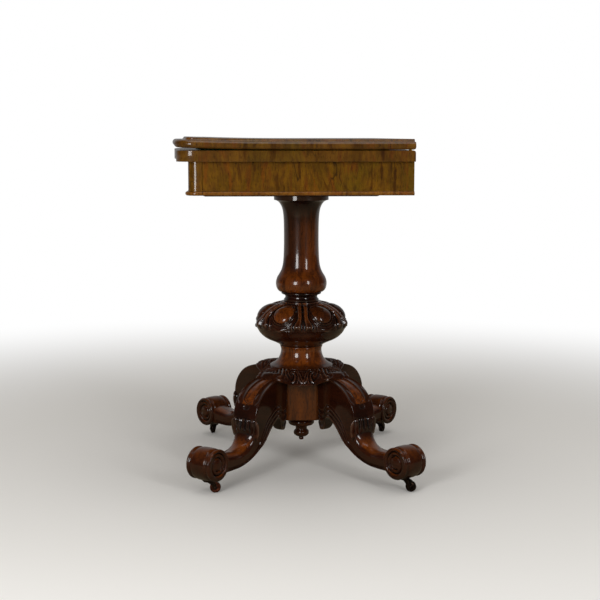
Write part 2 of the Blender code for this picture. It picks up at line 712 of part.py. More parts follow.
def carcase_plan():
    """Return the plan of the frieze."""
    return Serpentine(HALF_FRIEZE, FRIEZE_BACK, FRIEZE_END_DEPTH, FRIEZE_BULGE, FRIEZE_CORNER)


def front_stretch(plan, inset, start, end):
    """Return the stretch of a front edge between two places along the width, moved back by the seat gap."""
    path = [Vector(point) for point in plan.front_path(inset)]
    ends = []
    for place in (start, end):
        before, after = next(pair for pair in zip(path, path[1:]) if pair[0].x <= place <= pair[1].x)
        share = (place - before.x) / (after.x - before.x)
        ends.append(before.lerp(after, share))
    between = [point for point in path if start < point.x < end]
    return [(point.x, point.y + SEAT_GAP) for point in (ends[0], *between, ends[1])]


def fitted_board(start, end, plan, back, base, top):
    """Make a flat board between two places along the width, its front cut to lie along the front rail."""
    front = front_stretch(plan, RAIL_THICKNESS, start, end)
    return prism([*front, (end, back), (start, back)], base, top)


def bead_section():
    """Return the bead's section as (inset, height) points: a lap under the rail and a half-round nose."""
    radius = BEAD_HEIGHT / 2
    base = FRIEZE_BASE - SEAT_GAP - BEAD_HEIGHT
    nose = arc((radius - BEAD_PROJECTION, base + radius), radius, 1.5 * math.pi, 0.5 * math.pi, CORNER_STEPS)
    return [(BEAD_LAP, base), *nose, (BEAD_LAP, base + BEAD_HEIGHT)]


def build_carcase(walnut, pine, parent):
    """Make the serpentine frieze, the storage well and what carries the pivot."""
    plan = carcase_plan()
    butt = plan.butt_y()
    inner_back = FRIEZE_BACK - RAIL_THICKNESS
    rim = plan.front_path() + plan.front_path(RAIL_THICKNESS)[::-1]
    finish_object("frieze_front_rail", prism(rim, FRIEZE_BASE, FRIEZE_TOP), walnut, parent)
    finish_object("frieze_back_rail", box((-HALF_FRIEZE, inner_back, FRIEZE_BASE),
                                          (HALF_FRIEZE, FRIEZE_BACK, FRIEZE_TOP)), walnut, parent)
    inner_half = HALF_FRIEZE - RAIL_THICKNESS
    for side, label in ((-1, "left"), (1, "right")):
        outer = sorted((side * HALF_FRIEZE, side * inner_half))
        rail = box((outer[0], butt + SEAT_GAP, FRIEZE_BASE), (outer[1], inner_back - SEAT_GAP, FRIEZE_TOP))
        finish_object(f"frieze_end_rail_{label}", rail, walnut, parent)
    section = bead_section()
    paths = [plan.front_path(inset) for inset, height in section]
    rings = [[(*path[i], height) for path, (inset, height) in zip(paths, section)]
             for i in range(len(paths[0]))]
    finish_object("bead_front", loft(rings), walnut, parent)
    for side, label in ((-1, "left"), (1, "right")):
        rings = [[(side * (HALF_FRIEZE - inset), y, height) for inset, height in section]
                 for y in (butt + SEAT_GAP, FRIEZE_BACK)]
        finish_object(f"bead_{label}", loft(rings), walnut, parent)

    back = inner_back - SEAT_GAP
    half_divider = DIVIDER_THICKNESS / 2
    divider = fitted_board(-half_divider, half_divider, plan, back, FRIEZE_BASE, FRIEZE_TOP)
    finish_object("well_divider", divider, pine, parent)
    floor_end = plan.corner_centre(RAIL_THICKNESS)[0]
    floor = fitted_board(-floor_end, -half_divider - SEAT_GAP, plan, back, FRIEZE_BASE,
                         FRIEZE_BASE + WELL_FLOOR_THICKNESS)
    finish_object("well_floor", floor, pine, parent)

    rail_start = PIVOT.x - PIVOT_RAIL_WIDTH / 2
    rail_end = PIVOT.x + PIVOT_RAIL_WIDTH / 2
    rail_base = FRIEZE_TOP - PIVOT_RAIL_THICKNESS
    rail = fitted_board(rail_start, rail_end, plan, back, rail_base, FRIEZE_TOP)
    pivot_rail = finish_object("pivot_rail", rail, pine, parent)
    bore = turned(((0.0, FRIEZE_TOP + CUT_OVERRUN), (PIVOT_RADIUS + FIT_GAP, FRIEZE_TOP + CUT_OVERRUN),
                   (PIVOT_RADIUS + FIT_GAP, rail_base - CUT_OVERRUN), (0.0, rail_base - CUT_OVERRUN)),
                  PIVOT_SIDES, Vector((PIVOT.x, PIVOT.y, 0.0)))
    boolean(pivot_rail, bore, "DIFFERENCE")
    contact = STOP_RADIUS + FIT_GAP
    first = stop_place(-0.25 * math.pi)
    last = stop_place(0.25 * math.pi)
    block_start = rail_end + SEAT_GAP
    block_end = block_start + STOP_BLOCK
    for name, low, high in (("turn_stop_shut", first.y - contact - STOP_BLOCK, first.y - contact),
                            ("turn_stop_open", last.y + contact, last.y + contact + STOP_BLOCK)):
        finish_object(name, box((block_start, low, rail_base), (block_end, high, FRIEZE_TOP)), pine, parent)
    block_base = FRIEZE_BASE
    side_x = inner_half - SEAT_GAP
    for label, y in (("front", butt + GLUE_BLOCK_LENGTH), ("back", back - GLUE_BLOCK_LENGTH)):
        block = box((side_x - GLUE_BLOCK_SIZE, y - GLUE_BLOCK_LENGTH / 2, block_base),
                    (side_x, y + GLUE_BLOCK_LENGTH / 2, block_base + GLUE_BLOCK_SIZE))
        finish_object(f"glue_block_{label}", block, pine, parent)


def build_bearer(pine, parent):
    """Make the bearer that ties the carcase to the column, with its ends thinned by a chamfer."""
    top = FRIEZE_BASE - SEAT_GAP
    base = BEARER_BASE
    stretch = front_stretch(carcase_plan(), BEAD_LAP, -BEARER_WIDTH / 2, BEARER_WIDTH / 2)
    front = max(y for x, y in stretch)
    back = FRIEZE_BACK - RAIL_THICKNESS / 2
    slope = 3 * BEARER_CHAMFER
    outline = [(front, top), (front, base + BEARER_CHAMFER), (front + slope, base), (back - slope, base),
               (back, base + BEARER_CHAMFER), (back, top)]
    bearer = finish_object("bearer", side_prism(outline, -BEARER_WIDTH / 2, BEARER_WIDTH / 2), pine, parent)
    radius = TENON_RADIUS + SEAT_GAP
    hole = turned(((0.0, top + CUT_OVERRUN), (radius, top + CUT_OVERRUN), (radius, base - CUT_OVERRUN),
                   (0.0, base - CUT_OVERRUN)), TURNED_SIDES)
    boolean(bearer, hole, "DIFFERENCE")


def scaled(shares, radius, base, top):
    """Return a profile from its shares of a radius and of the height between base and top."""
    return [(share * radius, base + height * (top - base)) for share, height in shares]


def build_column(walnut, parent):
    """Make the turned column, with a flange and a tenon above and a seat on the bulb below."""
    tenon_top = COLUMN_TOP + BEARER_THICKNESS
    foot = COLUMN_FOOT + SEAT_GAP
    profile = [(0.0, tenon_top), (TENON_RADIUS, tenon_top), (TENON_RADIUS, COLUMN_TOP),
               (FLANGE_RADIUS, COLUMN_TOP),
               (FLANGE_RADIUS, COLUMN_TOP - FLANGE_THICKNESS),
               *scaled(COLUMN_SHARES, FLANGE_RADIUS, COLUMN_FOOT, COLUMN_TOP),
               (COLUMN_RING, foot + FLANGE_THICKNESS), (COLUMN_RING, foot), (0.0, foot)]
    finish_object("column", turned(profile, TURNED_SIDES), walnut, parent, smooth_angle=math.radians(35))


def build_bulb(walnut, parent):
    """Make the carved bulb: a cup of swelling bosses and leaves with a crisp rim over a plain underside."""
    outline = [(BULB_NECK, COLUMN_FOOT), (BULB_NECK, COLUMN_FOOT - BULB_NECK_HEIGHT)]
    carved = scaled(BULB_SHARES, BULB_RADIUS, BULB_FOOT, COLUMN_FOOT)
    rings = []
    for k in range(BULB_SIDES):
        angle = math.tau * k / BULB_SIDES
        swell = 0.5 - 0.5 * math.cos(BOSS_COUNT * angle)
        ring = [Vector((radius, 0.0, height)) for radius, height in outline]
        for (radius, height), (share, level) in zip(carved, BULB_SHARES):
            along = (level - BOSS_START_SHARE) / BOSS_SPAN_SHARE
            weight = math.sin(math.pi * min(1.0, max(0.0, along)))
            ring.append(Vector((radius + BOSS_SWELL * (swell - 0.5) * weight, 0.0, height)))
        ring.append(Vector((BULB_FOOT_RADIUS, 0.0, BULB_FOOT)))
        turn = Matrix.Rotation(angle, 3, "Z")
        rings.append([turn @ point for point in ring])
    columns = [list(column) for column in zip(*rings)]
    finish_object("carved_bulb", loft(columns[::-1]), walnut, parent, smooth_angle=math.radians(40))


def build_spool(walnut, parent):
    """Make the flared spool between the bulb and the collar, with a tenon down to the hub."""
    top = BULB_FOOT - SEAT_GAP
    tenon = COLLAR_BORE - SEAT_GAP
    foot = ARCH_HEIGHT + SEAT_GAP
    profile = [(0.0, top), (SPOOL_TOP_RADIUS, top), *scaled(SPOOL_SHARES, SPOOL_RIM, SPOOL_FOOT, top),
               (SPOOL_RIM, SPOOL_FOOT + SPOOL_RIM_THICKNESS), (SPOOL_RIM, SPOOL_FOOT), (tenon, SPOOL_FOOT),
               (tenon, foot), (0.0, foot)]
    finish_object("spool", turned(profile, TURNED_SIDES), walnut, parent, smooth_angle=math.radians(35))


def leg_section(station, grow=0.0):
    """Return one section of a leg that runs along +X, as a ring of 3-D points.

    A grown section has clearance all round and bridges the sunk panel, for cutting what sits on the leg.
    """
    outer_r, outer_z, inner_r, inner_z, width_share, roundness, panel = station
    run = FOOT_REACH - LEG_ROOT
    outer = Vector((LEG_ROOT + outer_r * run, 0.0, outer_z * ARCH_HEIGHT))
    inner = Vector((LEG_ROOT + inner_r * run, 0.0, inner_z * ARCH_HEIGHT))
    down = (inner - outer).normalized()
    outer -= down * grow
    depth = (inner - outer).length
    across = Vector((0.0, 1.0, 0.0))
    half = width_share * LEG_WIDTH / 2 + grow
    sink = 0.0 if grow else panel * PANEL_SINK
    flat = [(half, EDGE_ROUND * 2), (half - EDGE_ROUND, 0.0), (half - TOP_FILLET, 0.0),
            (half - TOP_FILLET - EDGE_ROUND, sink)]
    arch = half * CROWN_SHARE
    top = []
    for place, fall in flat:
        curve = arch * (1 - math.sqrt(max(0.0, 1 - (place / half) ** 2)))
        top.append((place, fall + (curve - fall) * roundness))
    taper = LOWER_TAPER
    side = [(half - taper * share - GROOVE_DEPTH * groove, share * depth) for share, groove in SIDE_SHARES]
    side = [(place, max(fall, top[0][1] + EDGE_ROUND)) for place, fall in side]
    floor = [(half - taper - EDGE_ROUND, depth)]
    right = top[::-1] + side + floor
    ring = [outer + across * place + down * fall for place, fall in right]
    ring += [outer - across * place + down * fall for place, fall in right[::-1]]
    return ring


def leg_body(grow=0.0):
    """Make a leg's arched knee and shank along +X."""
    return loft([leg_section(station, grow) for station in LEG_SHARES])


def scroll_solid():
    """Make the scroll foot's barrel, turned about the line across the leg."""
    half = SCROLL_LENGTH / 2
    quarter = [(share * SCROLL_RADIUS, place * half) for share, place in SCROLL_SHARES]
    eye = quarter[0]
    side = [(0.0, eye[1]), *quarter]
    profile = side + [(SCROLL_RADIUS, 0.0)] + [(radius, -place) for radius, place in side[::-1]]
    bm = turned(profile, SCROLL_SIDES)
    bm.transform(Matrix.Rotation(-0.5 * math.pi, 4, "X"))
    bm.transform(Matrix.Translation((FOOT_REACH, 0.0, SCROLL_HEIGHT)))
    return bm


def cuff_knuckle(place):
    """Make one carved knuckle of the cuff at a place across the leg."""
    outer_share = next(row[0] for row in LEG_SHARES if row[1] == CUFF_SHARE)
    reach = LEG_ROOT + outer_share * (FOOT_REACH - LEG_ROOT)
    half_pitch = LEG_WIDTH / CUFF_KNUCKLES / 2
    bm = bmesh.new()
    bmesh.ops.create_uvsphere(bm, u_segments=6, v_segments=5, radius=1.0)
    edge = abs(place) / (LEG_WIDTH / 2)
    sink = CUFF_PROUD * (CUFF_SINK_SHARE + CUFF_TURN_SHARE * edge ** 3)
    size = (CUFF_PROUD * CUFF_DEPTH_SHARE, half_pitch * CUFF_WIDTH_SHARE, CUFF_HEIGHT / 2, 1.0)
    bm.transform(Matrix.Diagonal(size))
    bm.transform(Matrix.Translation((reach - sink, place, CUFF_SHARE * ARCH_HEIGHT)))
    return bm


def build_leg(name, azimuth, walnut, parent):
    """Make one leg with its carved cuff and its scroll foot, then turn it to its heading."""
    leg = finish_object(name, leg_body(), walnut, parent, smooth_angle=math.radians(40))
    boolean(leg, scroll_solid(), "UNION")
    for k in range(CUFF_KNUCKLES):
        place = (k - (CUFF_KNUCKLES - 1) / 2) * LEG_WIDTH / CUFF_KNUCKLES * CUFF_SPREAD_SHARE
        boolean(leg, cuff_knuckle(place), "UNION")
    reach = SCROLL_RADIUS + CUT_OVERRUN
    seat = box((FOOT_REACH - reach, -reach, SCROLL_HEIGHT - SCROLL_RADIUS - CUT_OVERRUN),
               (FOOT_REACH + reach, reach, SCROLL_FLAT))
    boolean(leg, seat, "DIFFERENCE")
    reshape(leg, lambda bm: bm.transform(Matrix.Rotation(azimuth, 4, "Z")))


def build_collar(walnut, parent):
    """Make the leafy collar: tongues over the legs, a drooping skirt between them."""
    top = SPOOL_FOOT - SEAT_GAP
    rings = []
    for k in range(COLLAR_SIDES):
        angle = math.tau * k / COLLAR_SIDES
        away = min(abs(math.remainder(angle - azimuth, math.tau)) for azimuth in LEG_AZIMUTHS.values())
        share = (SKIRT_HALF_ANGLE - away) / (SKIRT_HALF_ANGLE - TONGUE_HALF_ANGLE)
        share = min(1.0, max(0.0, share))
        blend = share * share * (3 - 2 * share)
        ring = []
        for tongue, skirt in zip(COLLAR_TONGUE_SHARES, COLLAR_SKIRT_SHARES):
            long = COLLAR_BORE + tongue[0] * (COLLAR_REACH - COLLAR_BORE)
            short = COLLAR_BORE + skirt[0] * (COLLAR_SKIRT - COLLAR_BORE)
            radius = short + (long - short) * blend
            level = skirt[1] + (tongue[1] - skirt[1]) * blend
            height = COLLAR_DROP + level / COLLAR_TONGUE_SHARES[0][1] * (top - COLLAR_DROP)
            ring.append((radius * math.cos(angle), radius * math.sin(angle), height))
        rings.append(ring)
    collar = finish_object("carved_collar", loft(rings, closed=True), walnut, parent,
                           smooth_angle=math.radians(40))
    for azimuth in LEG_AZIMUTHS.values():
        envelope = leg_body(grow=FIT_GAP)
        envelope.transform(Matrix.Rotation(azimuth, 4, "Z"))
        boolean(collar, envelope, "DIFFERENCE")


def build_hub(walnut, parent):
    """Make the eight-sided hub block that the legs are jointed into, and the finial under it."""
    half_web = WEB_WIDTH / 2
    cos = math.cos(LEG_AZIMUTH)
    sin = math.sin(LEG_AZIMUTH)
    near = Vector((HUB_FACE * cos + half_web * sin, HUB_FACE * sin - half_web * cos))
    far = Vector((HUB_FACE * cos - half_web * sin, HUB_FACE * sin + half_web * cos))
    outline = [(near.x, -near.y), (near.x, near.y), (far.x, far.y), (-far.x, far.y), (-near.x, near.y),
               (-near.x, -near.y), (-far.x, -far.y), (far.x, -far.y)]
    hub = chamfered(prism(outline, HUB_FOOT, ARCH_HEIGHT), HUB_CHAMFER)
    finish_object("hub_block", hub, walnut, parent)
    top = HUB_FOOT - SEAT_GAP
    profile = [(0.0, top), *scaled(FINIAL_SHARES, FINIAL_RADIUS, FINIAL_TIP, top)]
    finish_object("finial", turned(profile, FINIAL_SIDES), walnut, parent, smooth_angle=math.radians(40))


def castor_cheek(side):
    """Make one cheek of the horn, from the head down to the axle, heading along +X."""
    inner = WHEEL_WIDTH / 2 + CHEEK_GAP
    head_top = SCROLL_FLAT - CASTOR_PLATE_THICKNESS - 2 * SEAT_GAP
    head_base = head_top - HORN_THICKNESS
    boss = HORN_BOSS_SHARE * AXLE_RADIUS
    axle = (CASTOR_TRAIL, WHEEL_RADIUS)
    reach = HORN_HEAD_RADIUS * HORN_REACH_SHARE
    foot = arc(axle, boss, -0.75 * math.pi, 0.35 * math.pi, CORNER_STEPS + 1)
    outline = [(-HORN_THICKNESS, head_top), (-HORN_THICKNESS, head_base), (reach / 2, head_base - boss / 2),
               *foot, (reach + boss, head_top)]
    bm = side_prism(outline, 0.0, CHEEK_THICKNESS)
    bm.transform(Matrix(((0.0, 1.0, 0.0, 0.0), (side, 0.0, 0.0, side * inner), (0.0, 0.0, 1.0, 0.0),
                         (0.0, 0.0, 0.0, 1.0))))
    return bm


def build_castor(label, azimuth, brass, stand):
    """Make one castor: a plate with its pintle, a swivelling horn, an axle and a wheel."""
    heading = CASTOR_HEADINGS[label]
    stem = Vector((FOOT_REACH * math.cos(azimuth), FOOT_REACH * math.sin(azimuth), 0.0))
    plate_top = SCROLL_FLAT - SEAT_GAP
    plate_base = plate_top - CASTOR_PLATE_THICKNESS
    head_top = plate_base - SEAT_GAP
    head_base = head_top - HORN_THICKNESS
    rivet_top = head_base - SEAT_GAP
    rivet_base = rivet_top - SEAT_GAP * 4
    profile = ((0.0, plate_top), (CASTOR_PLATE_RADIUS, plate_top), (CASTOR_PLATE_RADIUS, plate_base),
               (PINTLE_RADIUS, plate_base), (PINTLE_RADIUS, rivet_top), (RIVET_RADIUS, rivet_top),
               (RIVET_RADIUS, rivet_base), (0.0, rivet_base))
    finish_object(f"castor_plate_{label}", turned(profile, CASTOR_SIDES, stem), brass, stand)

    swivel = make_frame(f"castor_swivel_{label}", stem, stand)
    place = Matrix.Translation(stem) @ Matrix.Rotation(heading, 4, "Z")
    head = ring_solid(PINTLE_RADIUS + FIT_GAP, HORN_HEAD_RADIUS, head_base, head_top, CASTOR_SIDES, Vector())
    head.transform(place)
    horn = finish_object(f"castor_horn_{label}", head, brass, swivel)
    for side in (-1, 1):
        cheek = castor_cheek(side)
        cheek.transform(place)
        boolean(horn, cheek, "UNION")
    axle_length = WHEEL_WIDTH / 2 + CHEEK_GAP + CHEEK_THICKNESS
    axle_place = place @ Matrix.Translation((CASTOR_TRAIL, 0.0, WHEEL_RADIUS))
    lay = axle_place @ Matrix.Rotation(0.5 * math.pi, 4, "X")
    hole = turned(((0.0, axle_length * 2), (AXLE_RADIUS + FIT_GAP, axle_length * 2),
                   (AXLE_RADIUS + FIT_GAP, -axle_length * 2), (0.0, -axle_length * 2)), PIN_SIDES)
    hole.transform(lay)
    boolean(horn, hole, "DIFFERENCE")
    axle = turned(((0.0, axle_length), (AXLE_RADIUS, axle_length), (AXLE_RADIUS, -axle_length),
                   (0.0, -axle_length)), PIN_SIDES)
    axle.transform(lay)
    finish_object(f"castor_axle_{label}", axle, brass, swivel)

    roll = make_frame(f"castor_roll_{label}", axle_place.translation, swivel)
    half = WHEEL_WIDTH / 2
    bore = AXLE_RADIUS + FIT_GAP
    rim = WHEEL_RADIUS - 4 * SEAT_GAP
    section = ((bore, -half), (rim, -half), (WHEEL_RADIUS, 0.0), (rim, half), (bore, half))
    rings = []
    for k in range(WHEEL_SIDES):
        angle = math.tau * k / WHEEL_SIDES
        rings.append([Vector((radius * math.sin(angle), along, -radius * math.cos(angle)))
                      for radius, along in section])
    wheel = loft(rings, closed=True)
    wheel.transform(axle_place)
    finish_object(f"castor_wheel_{label}", wheel, brass, roll, smooth_angle=math.radians(40))


def centre_on_floor(root):
    """Move the whole table so that the middle of its bounding box stands over the origin."""
    bpy.context.view_layer.update()
    lines = []
    for piece in bpy.context.scene.objects:
        if piece.type == "MESH":
            lines += [(piece.matrix_world @ Vector(corner)).y for corner in piece.bound_box]
    root.location.y -= (min(lines) + max(lines)) / 2


def main():
    """Build every piece of the table."""
    for old in list(bpy.data.objects):
        bpy.data.objects.remove(old)
    walnut = make_material("walnut_top", (0.105, 0.048, 0.016), 0.32)
    carved = make_material("walnut_pedestal", (0.042, 0.013, 0.006), 0.28)
    pine = make_material("secondary_pine", (0.300, 0.170, 0.080), 0.70)
    baize = make_material("green_baize", (0.020, 0.090, 0.040), 0.95)
    brass = make_material("hinge_brass", (0.550, 0.360, 0.130), 0.35, 1.0)
    bronze = make_material("castor_brass", (0.120, 0.060, 0.030), 0.40, 1.0)
    iron = make_material("pivot_iron", (0.100, 0.095, 0.090), 0.50, 1.0)

    stand = make_frame("stand", (0.0, 0.0, 0.0))
    top = make_frame("top_swivel", PIVOT, stand)
    links = make_frame("link_axis", LOWER_PIN, top)
    fold = make_frame("fold_axis", UPPER_PIN, links)

    build_lower_leaf(walnut, baize, iron, top)
    build_upper_leaf(walnut, baize, fold)
    build_hinges(brass, top, links, fold)
    build_carcase(walnut, pine, stand)
    build_bearer(pine, stand)
    build_column(carved, stand)
    build_bulb(carved, stand)
    build_spool(carved, stand)
    build_hub(carved, stand)
    build_collar(carved, stand)
    for label, azimuth in LEG_AZIMUTHS.items():
        build_leg(f"leg_{label}", azimuth, carved, stand)
        build_castor(label, azimuth, bronze, stand)
    centre_on_floor(stand)


main()
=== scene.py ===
"""Dresses the fold-over card table: veneered top and carcase, carved pedestal, scroll legs and castors.

Lengths are in metres. The table stands on z = 0, its front faces -Y and its hinge edge +Y.
"""

import logging
import math
from contextlib import contextmanager
from dataclasses import dataclass, field
from enum import Enum
from typing import Any, Callable, Iterator, Sequence

import bmesh
import bpy
import numpy as np
from mathutils import Matrix, Vector


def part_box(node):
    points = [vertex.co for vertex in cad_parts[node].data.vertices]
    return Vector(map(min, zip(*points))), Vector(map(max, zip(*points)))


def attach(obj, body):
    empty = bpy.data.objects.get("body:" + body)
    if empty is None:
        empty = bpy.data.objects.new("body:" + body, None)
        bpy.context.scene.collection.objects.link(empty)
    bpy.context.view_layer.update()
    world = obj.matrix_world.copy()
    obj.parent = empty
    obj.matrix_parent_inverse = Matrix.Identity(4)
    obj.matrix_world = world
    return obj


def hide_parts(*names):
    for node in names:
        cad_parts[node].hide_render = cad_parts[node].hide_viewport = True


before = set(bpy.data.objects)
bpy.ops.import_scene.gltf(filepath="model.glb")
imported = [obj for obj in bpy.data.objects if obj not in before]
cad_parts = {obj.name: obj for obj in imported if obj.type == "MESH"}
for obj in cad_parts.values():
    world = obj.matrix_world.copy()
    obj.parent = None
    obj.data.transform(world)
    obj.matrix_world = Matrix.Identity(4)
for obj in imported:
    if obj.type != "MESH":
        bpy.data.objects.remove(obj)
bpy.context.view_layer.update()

log = logging.getLogger("card_table")

MM = 0.001
SEAT_GAP = 0.3 * MM

SMOOTH = {"interpolation_type": "SMOOTHSTEP"}

Pair = tuple[float, float]
Ring = Sequence[Vector]
Piece = bpy.types.Object
Finish = bpy.types.Material
Tree = bpy.types.NodeTree
Feed = bpy.types.Node | bpy.types.NodeSocket
Tint = tuple[str, Feed, tuple[float, ...], Feed | str]

FOOT_REACH = 335.0
LEG_SPLAY = math.radians(38)
HEADINGS = {"front_right": -LEG_SPLAY, "back_right": LEG_SPLAY, "back_left": math.pi - LEG_SPLAY,
            "front_left": math.pi + LEG_SPLAY}


class Body(Enum):
    """The moving bodies that a piece may ride on."""

    STAND = "stand"
    TOP = "top"
    LINKS = "hinge_links"
    FLAP = "flap"


class Slot(Enum):
    """The record's material slots."""

    WALNUT_TOP = "walnut_top"
    WALNUT_PEDESTAL = "walnut_pedestal"
    BAIZE = "green_baize"
    HINGE_BRASS = "hinge_brass"
    CASTOR_BRASS = "castor_brass"
    PIVOT_IRON = "pivot_iron"


class Grain(Enum):
    """Which way a veneer's grain runs on the table, as stretch factors for its pattern."""

    UPRIGHT = (1.0, 1.0, 0.16)
    DEEP = (1.0, 0.16, 1.0)
    WIDE = (0.16, 1.0, 1.0)


class GrainSource(Enum):
    """Where a solid walnut piece takes its grain from: its own grain map, or its place."""

    MAP = "grain"
    PLACE = "place"


def linear(code: str) -> tuple[float, float, float, float]:
    """Turn an sRGB hex colour into the linear one that a shader socket takes.

    Args:
        code: The colour as six hex digits after a number sign.

    Returns:
        Red, green, blue and an alpha of one.
    """
    parts = [int(code[i:i + 2], 16) / 255 for i in (1, 3, 5)]
    red, green, blue = (p / 12.92 if p <= 0.04045 else ((p + 0.055) / 1.055) ** 2.4 for p in parts)
    return red, green, blue, 1.0


def add_node(tree: Tree, kind: str, inputs: dict[Any, Any] | Sequence[Any] = (),
             **settings: Any) -> bpy.types.Node:
    """Add a shader node with its inputs, linked or set, and its settings.

    Args:
        tree: The material's or world's node tree.
        kind: The node's type name, after the word ShaderNode.
        inputs: Numbers, hex colours, and nodes or sockets to link, in order or by input name or number.
        settings: Values by property name; stops fills a colour ramp.

    Returns:
        The new node.
    """
    node = tree.nodes.new(f"ShaderNode{kind}")
    stops = settings.pop("stops", ())
    for name, value in settings.items():
        setattr(node, name, value)
    for k, (place, colour) in enumerate(stops):
        elements = node.color_ramp.elements
        element = elements[k] if k < len(elements) else elements.new(1.0)
        element.position = place
        element.color = linear(colour)
    for name, value in inputs.items() if isinstance(inputs, dict) else enumerate(inputs):
        if isinstance(value, bpy.types.Node):
            value = value.outputs[0]
        if isinstance(value, bpy.types.NodeSocket):
            tree.links.new(value, node.inputs[name])
        else:
            node.inputs[name].default_value = linear(value) if isinstance(value, str) else value
    return node


def noise(tree: Tree, place: Feed, scale: float, detail: float, roughness: float = 0.5,
          distortion: float = 0.0) -> bpy.types.Node:
    """Add a noise pattern, its scale in features per metre."""
    return add_node(tree, "TexNoise", {"Vector": place, "Scale": scale, "Detail": detail,
                                       "Roughness": roughness, "Distortion": distortion})


def tinted(tree: Tree, colour: Feed | str, *tints: Tint) -> bpy.types.NodeSocket:
    """Lay tints over a colour, each only as far as its own pattern lets it through.

    Args:
        tree: The node tree.
        colour: The colour underneath.
        tints: The tints in order. A span of four numbers turns the pattern's low and high into the tint's
            share there and there; with no span the pattern is the share.

    Returns:
        The finished colour.
    """
    for how, pattern, span, tint in tints:
        share = add_node(tree, "MapRange", (pattern, *span), **SMOOTH) if span else pattern
        mixed = add_node(tree, "Mix", {0: share, 6: colour, 7: tint}, data_type="RGBA", blend_type=how)
        colour = mixed.outputs[2]
    return colour


def new_material(name: str) -> tuple[Finish, Tree]:
    """Start a material with an empty node tree."""
    material = bpy.data.materials.new(name)
    material.use_nodes = True
    material.node_tree.nodes.clear()
    return material, material.node_tree


def close_material(material: Finish, relief: Feed, strength: float, depth: float,
                   sockets: dict[str, Any]) -> Finish:
    """Close a material with a Principled shader over a fine relief.

    Args:
        material: The material, with its patterns made.
        relief: The height pattern.
        strength: How much of the relief shows.
        depth: The relief's depth in millimetres.
        sockets: The shader's own sockets by name.

    Returns:
        The same material.
    """
    tree = material.node_tree
    bump = add_node(tree, "Bump", {"Strength": strength, "Distance": depth * MM, "Height": relief})
    add_node(tree, "OutputMaterial", (add_node(tree, "BsdfPrincipled", {**sockets, "Normal": bump}),))
    return material


@dataclass(frozen=True)
class FiguredWalnut:
    """Figured walnut veneer under French polish: dark gold with olive clouds, russet stripes and dark veins.

    The polish gives the eye a clear, slightly soft gloss. The figure shifts slowly over some 60 mm, russet
    stripes are 5 to 12 mm wide, and the pores are drawn 1.5 mm wide, twice their size, so that they show.
    """

    name: str
    grain: Grain
    dark: str = "#2E1B05"
    body: str = "#553A08"
    bright: str = "#724D0E"
    olive: str = "#574A0B"
    russet: str = "#763C0C"
    mirrored: bool = False

    def build(self) -> Finish:
        """Make the material."""
        material, tree = new_material(self.name)
        place = add_node(tree, "TexCoord").outputs["Object"]
        if self.mirrored:
            split = add_node(tree, "SeparateXYZ", (place,)).outputs
            folded = add_node(tree, "Math", (split[0],), operation="ABSOLUTE")
            place = add_node(tree, "CombineXYZ", (folded, split[1], split[2])).outputs[0]
        # The figure wanders by up to 20 mm, as the grain does over a burr.
        drift = noise(tree, place, 9.0, 3.0).outputs["Color"]
        centred = add_node(tree, "VectorMath", (drift, (0.5, 0.5, 0.5)), operation="SUBTRACT")
        shift = add_node(tree, "VectorMath", {0: centred, "Scale": 0.04}, operation="SCALE")
        warped = add_node(tree, "VectorMath", (place, shift), operation="ADD")
        along, straight = (add_node(tree, "Mapping", {"Vector": source, "Scale": self.grain.value})
                           for source in (warped, place))
        # A scale of 26 is one feature in 38 mm, and 620 one in 1.6 mm.
        clouds = noise(tree, warped, 26.0, 4.0, 0.62)
        tints = noise(tree, warped, 15.0, 2.0)
        stripes = noise(tree, along, 48.0, 3.0, 0.6)
        streaks = noise(tree, along, 150.0, 4.0, 0.65)
        lines = noise(tree, straight, 620.0, 2.0)
        veins = noise(tree, along, 17.0, 3.0)
        eyes = add_node(tree, "TexVoronoi", {"Vector": warped, "Scale": 30.0}).outputs["Distance"]
        # A vein runs where its noise crosses a half.
        ridge = add_node(tree, "Math", (veins, 0.5), operation="SUBTRACT")
        narrow = add_node(tree, "Math", (ridge,), operation="ABSOLUTE")
        vein, eye = (
            add_node(tree, "Math", [add_node(tree, "MapRange", span, **SMOOTH) for span in spans],
                     operation="MULTIPLY")
            for spans in (((narrow, 0.0, 0.010, 0.85, 0.0), (tints, 0.44, 0.54, 0.0, 1.0)),
                          ((eyes, 0.06, 0.14, 0.8, 0.0), (clouds, 0.54, 0.62, 0.0, 1.0))))
        base = add_node(tree, "ValToRGB", (clouds,), stops=((0.34, self.body), (0.6, self.bright)))
        colour = tinted(tree, base,
                        ("MIX", tints, (0.52, 0.62, 0.0, 0.3), self.olive),
                        ("MIX", stripes, (0.55, 0.64, 0.0, 0.5), self.russet),
                        ("MULTIPLY", stripes, (0.42, 0.34, 0.0, 0.6), "#9A7040"),
                        ("MULTIPLY", streaks, (0.36, 0.62, 0.5, 0.0), "#A5804E"),
                        ("MULTIPLY", lines, (0.56, 0.7, 0.0, 0.5), "#6A4A20"),
                        ("MIX", vein, (), self.dark), ("MIX", eye, (), self.dark))
        return close_material(material, lines, 0.08, 0.2, {
            "IOR": 1.5, "Coat Weight": 0.7, "Coat Roughness": 0.07, "Coat IOR": 1.5,
            "Specular IOR Level": 0.12, "Base Color": colour,
            "Roughness": add_node(tree, "MapRange", (streaks, 0.3, 0.7, 0.36, 0.26), **SMOOTH)})


